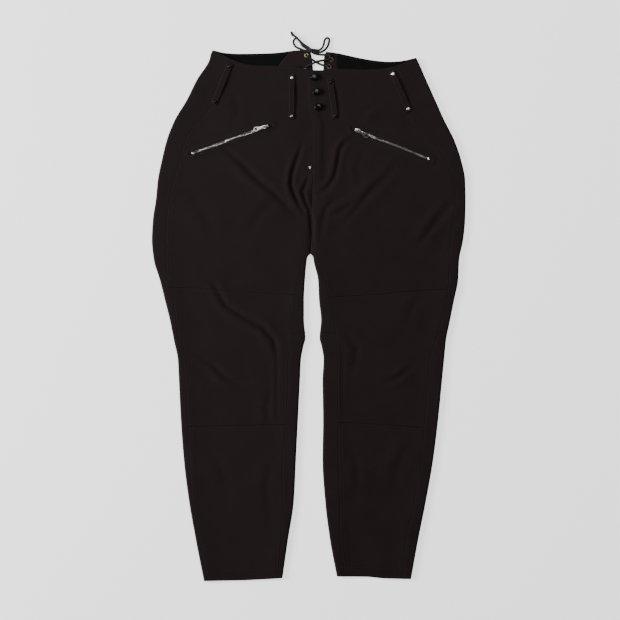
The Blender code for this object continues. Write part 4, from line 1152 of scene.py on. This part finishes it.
shells = [*fronts(LEFT), *backs(LEFT), *fronts(RIGHT), *backs(RIGHT), *inside(LEFT), *inside(RIGHT)]
ground = Ground(shells)


def keep(made, name, material, node=None, body=GARMENT):
    """Names a finished piece, gives it its material, joins it to its body and hides the CAD part it
    stands for.
    """
    made.name = name
    made.data.name = name
    made.data.materials.clear()
    made.data.materials.append(material)
    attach(made, body)
    if node:
        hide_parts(node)
    return made


def placed_copy(pattern, matrix):
    """A copy of a pattern with its own mesh, moved in the mesh."""
    mesh = pattern.data.copy()
    mesh.transform(matrix)
    return link(mesh, pattern.name)


def joined_copies(pattern, matrices, name):
    """One mesh of many copies of a pattern."""
    source = pattern.data
    count = len(source.vertices)
    points = np.empty(count * 3)
    source.vertices.foreach_get("co", points)
    points = np.column_stack((points.reshape(-1, 3), np.ones(count)))
    moved = np.concatenate([points @ np.array(matrix).T[:, :3] for matrix in matrices])
    faces = [tuple(face.vertices) for face in source.polygons]
    shifted = [tuple(v + i * count for v in face) for i in range(len(matrices)) for face in faces]
    mesh = bpy.data.meshes.new(name)
    mesh.from_pydata(moved.tolist(), [], shifted)
    mesh.shade_smooth()
    return link(mesh, name)


def deselect():
    """Leaves nothing selected or in edit mode."""
    if bpy.context.object and bpy.context.object.mode != "OBJECT":
        bpy.ops.object.mode_set(mode="OBJECT")
    bpy.ops.object.select_all(action="DESELECT")


def pick_faces(made, test):
    """Goes into edit mode with only the faces selected whose centre passes a test."""
    bpy.ops.object.mode_set(mode="EDIT")
    bpy.ops.mesh.select_mode(type="FACE")
    bpy.ops.mesh.select_all(action="DESELECT")
    bpy.ops.object.mode_set(mode="OBJECT")
    for face in made.data.polygons:
        face.select = test(face.center)
    bpy.ops.object.mode_set(mode="EDIT")


def extrude(x, y, z):
    """Extrudes the selected faces by a distance in millimetres."""
    bpy.ops.mesh.extrude_region_move(TRANSFORM_OT_translate={"value": (x * MM, y * MM, z * MM)})


def draw(scale, centre=(0.0, 0.0, 0.0)):
    """Draws what is selected toward a centre, or away from it."""
    bpy.ops.transform.resize(value=scale, center_override=centre)


def metal_block(size):
    """A block of this size about the origin."""
    deselect()
    bpy.ops.mesh.primitive_cube_add(size=1.0)
    made = bpy.context.active_object
    bpy.ops.object.mode_set(mode="EDIT")
    bpy.ops.mesh.select_all(action="SELECT")
    draw([side * MM for side in size])
    bpy.ops.object.mode_set(mode="OBJECT")
    return made


def domed_fastener(radius, base, rings, sides):
    """A round piece: a short cylinder standing on z = 0, then rings upward as rise and scale."""
    deselect()
    bpy.ops.mesh.primitive_cylinder_add(vertices=sides, radius=radius * MM, depth=base * MM,
                                        location=(0.0, 0.0, 0.5 * base * MM))
    made = bpy.context.active_object
    bpy.ops.object.transform_apply(location=True, rotation=False, scale=False)
    pick_faces(made, lambda centre: centre.z > 0.99 * base * MM)
    for rise, scale in rings:
        extrude(0.0, 0.0, rise)
        draw((scale, scale, 1.0))
    bpy.ops.object.mode_set(mode="OBJECT")
    bpy.ops.object.shade_smooth_by_angle(angle=DOME_ANGLE)
    return made


def activate(made):
    """Leaves one piece selected and active."""
    deselect()
    made.select_set(True)
    bpy.context.view_layer.objects.active = made


def bevelled(made, width, segments=2):
    """Rounds the sharp edges of a piece and shades it smooth."""
    bevel = made.modifiers.new("rounding", "BEVEL")
    bevel.width = width * MM
    bevel.segments = segments
    bevel.limit_method = "ANGLE"
    bevel.angle_limit = BEVEL_ANGLE
    activate(made)
    bpy.ops.object.modifier_apply(modifier=bevel.name)
    bpy.ops.object.shade_smooth_by_angle(angle=SMOOTH_ANGLE)
    return made


def forget(pattern):
    """Removes a pattern once its copies are made."""
    bpy.data.objects.remove(pattern, do_unlink=True)


def laid(x, y, z, heading=0.0, normal=None):
    """A place on the cloth: z up or along the normal, turned about it."""
    up = normal or Vector((0.0, 0.0, 1.0))
    tip = up.to_track_quat("Z", "Y").to_matrix().to_4x4()
    return Matrix.Translation(Vector((x, y, z)) * MM) @ tip @ Matrix.Rotation(heading, 4, "Z")


def strip_grid(start, end, width, height_at, step, across_count):
    """Points of a strip's upper face between two points, rows from start to end."""
    along = Vector((end[0] - start[0], end[1] - start[1]))
    length = along.length
    along.normalize()
    across = Vector((along.y, -along.x))
    rows = []
    for up in np.linspace(0.0, 1.0, max(4, round(length / step) + 1)):
        row = []
        for side in np.linspace(-0.5, 0.5, across_count):
            spot = Vector(start) + along * (up * length) + across * (side * width)
            row.append((spot.x, spot.y, height_at(spot.x, spot.y, up)))
        rows.append(row)
    return np.array(rows)


def belt_loop(loop):
    """A loop of folded cloth, free of the wool between its two ends."""
    (top_x, top_y), (low_x, low_y) = loop.top, loop.low
    way = Vector((low_x - top_x, low_y - top_y))
    length = way.length + 2.0 * LOOP_PAST
    way.normalize()
    start = (top_x - way.x * LOOP_PAST, top_y - way.y * LOOP_PAST)
    end = (low_x + way.x * LOOP_PAST, low_y + way.y * LOOP_PAST)

    def height_at(x, y, up):
        free = smoothstep(0.16, 0.34, up) * (1.0 - smoothstep(0.66, 0.84, up))
        end_drop = 0.5 * bell(min(up, 1.0 - up) * length / 2.6)
        return ground.top(x, y, 1.6) + LOOP_REST + LOOP_LIFT * float(free) - float(end_drop)

    grid = strip_grid(start, end, LOOP_WIDTH, height_at, 1.7, 17)
    borders = (LOOP_SIDE, LOOP_SIDE, LOOP_END, LOOP_END)
    side = loop.name.split("_")[0]
    return cloth_piece(f"belt_loop_cloth_{loop.name}", f"belt_loop_{loop.name}", grid, -1, borders,
                       wool_cross, [f"front_thigh_{side}"], 0.0, LOOP_CLOTH)


def rivets(loop, cloth, pattern):
    """A domed rivet through each end of a loop."""
    over = Ground([cloth])
    for end_name, place, finish in zip(("top", "low"), (loop.top, loop.low), loop.metals):
        lean = Vector(RIVET_LEANS[end_name]).normalized()
        made = placed_copy(pattern, laid(*place, over.top(*place) - RIVET_SINK, 0.0, lean))
        keep(made, f"rivet_cap_{loop.name}_{end_name}", METALS[finish],
             f"rivet_{loop.name}_{end_name}")


def buttons():
    """The three fly buttons, each with its foot a set way below its solid's top."""
    pattern = domed_fastener(*BUTTON_FORM)
    for name, x, y, lean in BUTTONS:
        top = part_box(f"fly_button_{name}")[1][2] / MM
        up = Vector((*lean, 1.0)).normalized()
        made = placed_copy(pattern, laid(x, y, top - BUTTON_FOOT, 0.0, up))
        keep(made, f"button_{name}", black_gloss, f"fly_button_{name}")
    forget(pattern)


def eyelets():
    """Rolled brass rings, pressed flat."""
    deselect()
    bpy.ops.mesh.primitive_torus_add(major_segments=44, minor_segments=14,
                                     major_radius=EYELET_RING * MM, minor_radius=EYELET_WIRE * MM)
    pattern = bpy.context.active_object
    bpy.ops.object.mode_set(mode="EDIT")
    bpy.ops.mesh.select_all(action="SELECT")
    draw((1.0, 1.0, EYELET_FLAT))
    bpy.ops.object.mode_set(mode="OBJECT")
    bpy.ops.object.shade_smooth()
    for name, x, y in EYELETS:
        made = placed_copy(pattern, laid(x, y, EYELET_Z, 0.4))
        # The upper left eyelet takes the lighter brass, the other three the darker.
        finish = METALS["brass" if name == "left_upper" else "dull_brass"]
        keep(made, f"eyelet_ring_{name}", finish, f"eyelet_{name}")
    forget(pattern)


rivet = domed_fastener(*RIVET_FORM)
loop_cloths = []
for one_loop in BELT_LOOPS:
    loop_cloths.append(belt_loop(one_loop))
    rivets(one_loop, loop_cloths[-1], rivet)
forget(rivet)
buttons()
eyelets()


def from_solid(node, name, body, width, finish, hole=None):
    """A CAD solid's own form with its edges rounded, and its hole opened a little if it has one."""
    source = bpy.data.objects[node]
    mesh = source.data.copy()
    mesh.transform(source.matrix_world)
    if hole:
        middle = Vector(hole) * MM
        for vert in mesh.vertices:
            off = vert.co.xy - middle
            if off.length < HOLE_REACH * MM:
                vert.co.xy = middle + off * HOLE_OPENED
    made = link(mesh, name)
    activate(made)
    bpy.ops.object.mode_set(mode="EDIT")
    bpy.ops.mesh.select_all(action="SELECT")
    bpy.ops.mesh.remove_doubles(threshold=0.5 * WELD)
    bpy.ops.mesh.dissolve_limited(angle_limit=math.radians(2.0))
    bpy.ops.object.mode_set(mode="OBJECT")
    bevelled(made, width)
    return keep(made, name, finish, node, body)


def tooth_pattern():
    """One zip tooth: a narrow block with a raised head."""
    made = metal_block(TOOTH)
    pick_faces(made, lambda centre: centre.y > 0.4 * TOOTH[1] * MM)
    extrude(0.0, TOOTH_HEAD, 0.0)
    draw((0.72, 1.0, 0.62))
    bpy.ops.object.mode_set(mode="OBJECT")
    return bevelled(made, 0.22)


def tooth_places(pocket, way, across, length):
    """Where each tooth stands: two rows that lock, swaying and tilting a little."""
    heading = math.atan2(way.y, way.x)
    step = 0.5 * TOOTH_PITCH
    matrices = []
    for i in range(int((length - CHAIN_FIRST - CHAIN_LAST) / step)):
        along = CHAIN_FIRST + step * i
        row = 1.0 if i % 2 else -1.0
        sway = CHAIN_SWAY * math.sin(along / 17.0 + pocket.sway)
        spot = Vector(pocket.top) + way * along + across * (TOOTH_ROW * row + sway)
        lean = 0.30 * math.sin(along / 8.7) + 0.12 * math.sin(along / 3.1 + 1.0)
        height = ground.top(spot.x, spot.y) + CHAIN_REST
        tip = Matrix.Rotation(lean, 4, "X") @ Matrix.Rotation(0.10 * math.sin(along * 1.7), 4, "Y")
        turn = Matrix.Rotation(heading + (0.0 if row < 0 else math.pi), 4, "Z")
        matrices.append(Matrix.Translation(Vector((spot.x, spot.y, height)) * MM) @ turn @ tip)
    return matrices


def pocket_zip(pocket, tooth):
    """One pocket's teeth, tape and the stop at the lower end."""
    name = pocket.name
    way = Vector(pocket.low) - Vector(pocket.top)
    length = way.length
    way.normalize()
    across = Vector((-way.y, way.x))
    teeth = joined_copies(tooth, tooth_places(pocket, way, across, length), f"teeth_{name}")
    keep(teeth, f"zip_teeth_{name}", CHAINS[name], f"zip_chain_{name}")
    zip_tape(name, Vector(pocket.top), way, length)
    zip_stop(name, Vector(pocket.low) - way * 1.6, math.atan2(way.y, way.x))


def zip_tape(name, top, way, length):
    """The woven tape under the teeth, which runs on below the pocket's lips."""
    grid = strip_grid(top - way * 2.0, top + way * (length + 1.0), TAPE_WIDTH,
                      lambda x, y, _up: ground.top(x, y) - float(zip_lips(x, y)) + TAPE_REST,
                      2.2, 12)
    cloth_piece(f"zip_tape_{name}", None, grid, -1, None, tape, [f"front_thigh_{name}"], 0.0,
                TAPE_CLOTH, "lace")


def zip_stop(name, place, heading):
    """The folded stop that closes the lower end of the teeth."""
    made = bevelled(metal_block(ZIP_STOP), 0.5, 3)
    height = ground.top(place.x, place.y, 2.0) + ZIP_STOP_REST
    lean = Vector(ZIP_STOP_LEAN).normalized()
    made.data.transform(laid(place.x, place.y, height, heading, lean))
    # The stop's bright nickel is a painted highlight.
    keep(made, f"zip_stop_{name}", METALS["bright"])


def fly_zip_end():
    """The lower end of the fly's zip: a bent metal stop beside the fly's edge."""
    made = metal_block(FLY_ZIP_BODY)
    pick_faces(made, lambda centre: centre.y < -1.1 * MM)
    for step, turn in FLY_ZIP_BENDS:
        extrude(turn, -step, 0.0)
    pick_faces(made, lambda centre: centre.x > 1.2 * MM and centre.y > -1.1 * MM)
    extrude(2.4, -0.6, 0.25)
    bpy.ops.object.mode_set(mode="OBJECT")
    bevelled(made, 0.3)
    x, y = FLY_ZIP_END
    height = ground.top(x, y, 3.0) + FLY_ZIP_REST
    lean = Vector(FLY_ZIP_LEAN).normalized()
    made.data.transform(laid(x - 0.6, y + 2.6, height, -0.06, lean))
    keep(made, "fly_zip_stop", METALS["nickel"], "fly_zip_end")


for one_pocket in POCKETS:
    side = one_pocket.name
    from_solid(f"zip_slider_{side}", f"slider_{side}", GARMENT, 0.35, METALS[one_pocket.slider])
    from_solid(f"zip_pull_{side}", f"pull_{side}", f"{side}_pull", 0.24, METALS[one_pocket.pull],
               one_pocket.hole)
zip_tooth = tooth_pattern()
for one_pocket in POCKETS:
    pocket_zip(one_pocket, zip_tooth)
forget(zip_tooth)
fly_zip_end()


def stitch_pattern():
    """One stitch: a short thread with both ends drawn in."""
    deselect()
    bpy.ops.mesh.primitive_cylinder_add(vertices=8, radius=0.5 * THREAD * MM,
                                        depth=0.55 * STITCH_LENGTH * MM,
                                        rotation=(0.0, math.pi / 2.0, 0.0))
    made = bpy.context.active_object
    bpy.ops.object.transform_apply(location=True, rotation=True, scale=False)
    for side in (-1.0, 1.0):
        pick_faces(made, lambda centre, side=side: centre.x * side > 0.26 * STITCH_LENGTH * MM)
        extrude(side * 0.22 * STITCH_LENGTH, 0.0, -0.16)
        draw((1.0, 0.45, 0.45), (side * 0.5 * STITCH_LENGTH * MM, 0.0, -0.16 * MM))
        bpy.ops.object.mode_set(mode="OBJECT")
    bpy.ops.object.shade_smooth()
    return made


def along_line(points, pitch):
    """Places at even steps along a broken line, with the direction at each."""
    points = np.array(points, dtype=float)
    steps = np.hypot(*np.diff(points, axis=0).T)
    walked = np.concatenate(((0.0,), np.cumsum(steps)))
    places = np.arange(0.5 * pitch, walked[-1] - 0.4 * pitch, pitch)
    x = np.interp(places, walked, points[:, 0])
    y = np.interp(places, walked, points[:, 1])
    before = np.maximum(places - 1.0, 0.0)
    after = np.minimum(places + 1.0, walked[-1])
    way_x = np.interp(after, walked, points[:, 0]) - np.interp(before, walked, points[:, 0])
    way_y = np.interp(after, walked, points[:, 1]) - np.interp(before, walked, points[:, 1])
    return zip(x, y, np.arctan2(way_y, way_x))


def stitched(name, lines, over, pattern, low=0.0):
    """Rows of stitches sunk a little into the cloth, none where it lies about as low as low."""
    matrices = []
    half_stitch = 0.4 * STITCH_LENGTH
    for line in lines:
        for x, y, heading in along_line(line, STITCH_PITCH):
            dx, dy = half_stitch * math.cos(heading), half_stitch * math.sin(heading)
            first, last = over.hit(x - dx, y - dy)[0], over.hit(x + dx, y + dy)[0]
            if min(first, last) < 0.5 + low:
                continue
            lean = math.atan2(last - first, 2.0 * half_stitch)
            place = Matrix.Translation(Vector((x, y, 0.5 * (first + last) + 0.1)) * MM)
            matrices.append(place @ Matrix.Rotation(heading, 4, "Z") @ Matrix.Rotation(-lean, 4, "Y"))
    made = joined_copies(pattern, matrices, name)
    return keep(made, name, thread)


def span(low, high, step=4.0):
    """Even places from low to high."""
    return np.linspace(low, high, max(2, round(abs(high - low) / step) + 1))


def seam_lines(half):
    """Stitch lines beside the seams of one half."""
    out = half.outward
    ends = STITCH_ENDS[half.name]
    lines = []
    for offset in SEAM_ROWS:
        y = span(ends.waist_y, SIDE_ROWS_LOW)
        lines.append(np.column_stack((half.side_seam(y) - out * offset, y)))
    for offset in SEAM_ROWS:
        y = span(*INSEAM_ROWS)
        lines.append(np.column_stack((half.inner_line(y) + out * (half.inset(y) + offset), y)))
    knees = ((half.knee_top, KNEE_TOP_ROWS, KNEE_TOP_Y), (half.knee_low, KNEE_LOW_ROWS, KNEE_LOW_Y))
    for edge, offsets, y in knees:
        outer = half.side_seam(y) - out * ROW_SHORT
        inner = half.inner_line(y) + out * (half.inset(y) + ROW_SHORT)
        x = span(outer, inner)
        lines += [np.column_stack((x, edge(x) + offset)) for offset in offsets]
    x = span(*ends.waist_x)
    lines.append(np.column_stack((x, half.waist(x) - WAIST_ROW)))
    return lines


def hem_line(half):
    """The line of stitches above one hem."""
    outer = half.side_edge(HEM_ROW_Y) - ROW_SHORT * half.outward
    inner = half.inner_line(HEM_ROW_Y) + ROW_SHORT * half.outward
    x = span(outer, inner)
    return np.column_stack((x, half.hem(x) + HEM_ROW))


def fly_lines():
    """The rows beside the fly's edge, and the curved line that holds its facing."""
    lines = []
    for high, low, offset in FLY_ROWS:
        y = span(high, low)
        lines.append(np.column_stack((RIGHT.fly(y) + offset, y)))
    y = span(FLY_FACING_TOP, FLY_FACING_LOW)
    facing = list(np.column_stack((FLY_FACING_X - 0.02 * (FLY_FACING_TOP - y), y)))
    end_x, reach_x, reach_y = FLY_CURVE
    for turn in np.linspace(0.0, math.pi / 2.0, 12):
        facing.append((end_x + reach_x * math.cos(turn), FLY_FACING_LOW - reach_y * math.sin(turn)))
    return [*lines, np.array(facing)]


def frame_round(top, low, side, past):
    """A closed box of stitches round a slit or along a loop."""
    way = Vector((low[0] - top[0], low[1] - top[1])).normalized()
    across = Vector((-way.y, way.x)) * side
    start, end = Vector(top) - way * past, Vector(low) + way * past
    corners = (start + across, end + across, end - across, start - across, start + across)
    return [tuple(corner) for corner in corners]


def vent_lines(half):
    """Stitches beside the vent and along the back's waist."""
    low, high, offset = VENT_ROW
    y = span(low, high)
    lines = [np.column_stack((half.vent(y) + half.outward * offset, y))]
    low, high, offset = FACING_ROW
    y = span(low, high)
    lines.append(np.column_stack((facing_edge(half, y) - half.outward * offset, y)))
    x = span(*STITCH_ENDS[half.name].back_waist_x)
    lines.append(np.column_stack((x, half.back_waist(x) - BACK_WAIST_ROW)))
    return lines


def loop_lines():
    """Stitches along the sides and across the ends of every belt loop."""
    lines = []
    for loop in BELT_LOOPS:
        box = frame_round(loop.top, loop.low, LOOP_ROW, LOOP_ROW)
        lines += [box[:2], box[2:4], box[1:3], box[3:]]
    return lines


stitch = stitch_pattern()
pocket_lines = [frame_round(pocket.top, pocket.low, POCKET_ROW, POCKET_ROW_PAST)
                for pocket in POCKETS]
stitched("stitches_left_leg", seam_lines(LEFT), ground, stitch, 3.0)
stitched("stitches_right_leg", seam_lines(RIGHT), ground, stitch, 3.0)
stitched("stitches_hems", [hem_line(LEFT), hem_line(RIGHT)], ground, stitch, 2.0)
stitched("stitches_fly", fly_lines(), ground, stitch, 3.0)
stitched("stitches_pockets", pocket_lines, ground, stitch, 3.0)
stitched("stitches_inside_back", vent_lines(LEFT) + vent_lines(RIGHT), ground, stitch)
stitched("stitches_loops", loop_lines(), Ground(loop_cloths), stitch, 3.0)
forget(stitch)


def smooth_route(points, spacing):
    """Points read from a smooth curve through the route's own points."""
    route = [Vector(point) for point in points]
    padded = [2 * route[0] - route[1], *route, 2 * route[-1] - route[-2]]
    dense = []
    for a, b, c, d in zip(padded, padded[1:], padded[2:], padded[3:]):
        for i in range(20):
            t = i / 20
            dense.append(0.5 * (2 * b + (c - a) * t + (2 * a - 5 * b + 4 * c - d) * t * t
                                + (3 * b - a - 3 * c + d) * t ** 3))
    dense.append(route[-1])
    lengths = np.concatenate(((0.0,), np.cumsum([(b - a).length for a, b in zip(dense, dense[1:])])))
    count = max(2, round(lengths[-1] / spacing))
    places = np.linspace(0.0, lengths[-1], count + 1)
    axes = [np.interp(places, lengths, [point[k] for point in dense]) for k in range(3)]
    return [Vector(point) for point in zip(*axes)], float(lengths[-1])


def lace_tube(shape, layer, route, radii, closed):
    """A round tube along a route, with its map round and along in metres."""
    count = len(route)
    turns = [2.0 * math.pi * k / TUBE_SIDES for k in range(TUBE_SIDES)]
    side = None
    rings = []
    walked = [0.0]
    for a, b in zip(route, route[1:]):
        walked.append(walked[-1] + (b - a).length)
    for i, point in enumerate(route):
        before = route[i - 1] if i or closed else point
        after = route[(i + 1) % count] if i < count - 1 or closed else point
        way = (after - before).normalized()
        side = side or Vector((0.0, 0.0, 1.0)).cross(way) or Vector((1.0, 0.0, 0.0))
        side = (side - way * side.dot(way)).normalized()
        other = way.cross(side)
        spokes = [side * math.cos(turn) + other * math.sin(turn) for turn in turns]
        rings.append([shape.verts.new((point + radii[i] * spoke) * MM) for spoke in spokes])
    pairs = list(zip(range(count - 1), range(1, count)))
    if closed:
        pairs.append((count - 1, 0))
    for i, j in pairs:
        for k in range(TUBE_SIDES):
            m = (k + 1) % TUBE_SIDES
            face = shape.faces.new((rings[i][k], rings[i][m], rings[j][m], rings[j][k]))
            far = walked[j] if j else walked[i] + (route[0] - route[i]).length
            maps = ((k, walked[i]), (k + 1, walked[i]), (k + 1, far), (k, far))
            for loop, (turn, place) in zip(face.loops, maps):
                loop[layer].uv = (turn / TUBE_SIDES, place * MM)
    if not closed:
        for ring in (rings[0][::-1], rings[-1]):
            shape.faces.new(ring)


def lace_piece(name, routes, material):
    """One piece of tubes, each given as route, radii and whether it closes on itself."""
    shape = bmesh.new()
    layer = shape.loops.layers.uv.new("cord")
    for route, radii, closed in routes:
        lace_tube(shape, layer, route, radii, closed)
    bmesh.ops.recalc_face_normals(shape, faces=shape.faces)
    mesh = bpy.data.meshes.new(name)
    shape.to_mesh(mesh)
    shape.free()
    mesh.shade_smooth()
    return keep(link(mesh, name), name, material)


def ring_route(centre, across, up, count=26):
    """A closed round through two half axes about a centre."""
    centre, across, up = Vector(centre), Vector(across), Vector(up)
    turns = np.linspace(0.0, 2.0 * math.pi, count, endpoint=False)
    return [centre + across * math.cos(turn) + up * math.sin(turn) for turn in turns]


def lace_knot():
    """The bow's knot: turns of the lace drawn tight over each other."""
    x, y, z = KNOT
    turns = (
        ring_route((x - 1.8, y + 0.2, z), (0.6, 3.1, 0.0), (0.3, 0.0, 1.6)),
        ring_route((x + 1.6, y - 0.3, z), (-0.7, 3.0, 0.0), (-0.2, 0.2, 1.6)),
        ring_route((x, y, z + 0.3), (3.1, 1.2, 0.1), (-0.9, 2.5, 0.3)),
    )
    routes = [(route, [KNOT_TURN] * len(route), True) for route in turns]
    made = lace_piece("lace_knot_turns", routes, braid)
    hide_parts("lace_knot")
    return made


def on_table(route, sizes):
    """A route lifted where needed, so that the lace's radius clears the table."""
    return [Vector((point.x, point.y, max(point.z, size))) for point, size in zip(route, sizes)]


def lace_tip(route):
    """The bound tip over the last points of the free end, a little thicker than the lace."""
    tip, _ = smooth_route([route[-9], route[-5], route[-1]], TIP_STEP)
    swell = [min(1.0, 0.25 + 0.8 * i / len(tip)) for i in range(len(tip))]
    sizes = [TIP_RADIUS + TIP_SWELL * math.sin(math.pi * share) for share in swell]
    return lace_piece("lace_tip", [(on_table(tip, sizes), sizes, False)], braid)


def lace(knot):
    """Every stretch of the lace, and the bound tip of its free end."""
    for name, far_end, points in LACE_ROUTES:
        route, length = smooth_route(points, LACE_STEP)
        sizes = [0.5 * LACE] * len(route)
        route = on_table(route, sizes)
        made = lace_piece(f"{name}_braid", [(route, sizes, False)], braid)
        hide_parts(name)
        extra = (lace_tip(route), knot) if far_end == "bare" else ()


lace(lace_knot())


def floor_and_light():
    """A pale table and plain soft studio light from above."""
    deselect()
    bpy.ops.mesh.primitive_plane_add(size=TABLE_SIZE, location=(0.0, 0.0, -TABLE_DROP))
    table = bpy.context.active_object
    table.name = "pale_table"
    paper = Finish("pale_paper", Roughness=0.9, Metallic=0.0, Emission_Strength=TABLE_GLOW,
                   Base_Color=(*[TABLE_TONE] * 3, 1.0), Emission_Color=WHITE)
    table.data.materials.append(paper.material)
    for lamp in LAMPS:
        light = bpy.data.lights.new(lamp.name, "AREA")
        light.shape = "SQUARE"
        light.size = lamp.size
        light.energy = lamp.power
        made = link(light, lamp.name)
        facing = (Vector(lamp.aim) - Vector(lamp.place)).to_track_quat("-Z", "Y")
        made.matrix_world = Matrix.Translation(lamp.place) @ facing.to_matrix().to_4x4()
    world = bpy.data.worlds.new("studio")
    world.use_nodes = True
    background = world.node_tree.nodes["Background"]
    background.inputs["Color"].default_value = WHITE
    background.inputs["Strength"].default_value = STUDIO_LIGHT
    bpy.context.scene.world = world


def camera():
    """A long lens straight above the table, framed as the photograph."""
    data = bpy.data.cameras.new("camera")
    data.lens = LENS
    data.sensor_width = SENSOR
    made = link(data, "camera")
    made.location = (*VIEW_CENTRE, VIEW_WIDTH * LENS / SENSOR)
    bpy.context.scene.camera = made


floor_and_light()
camera()
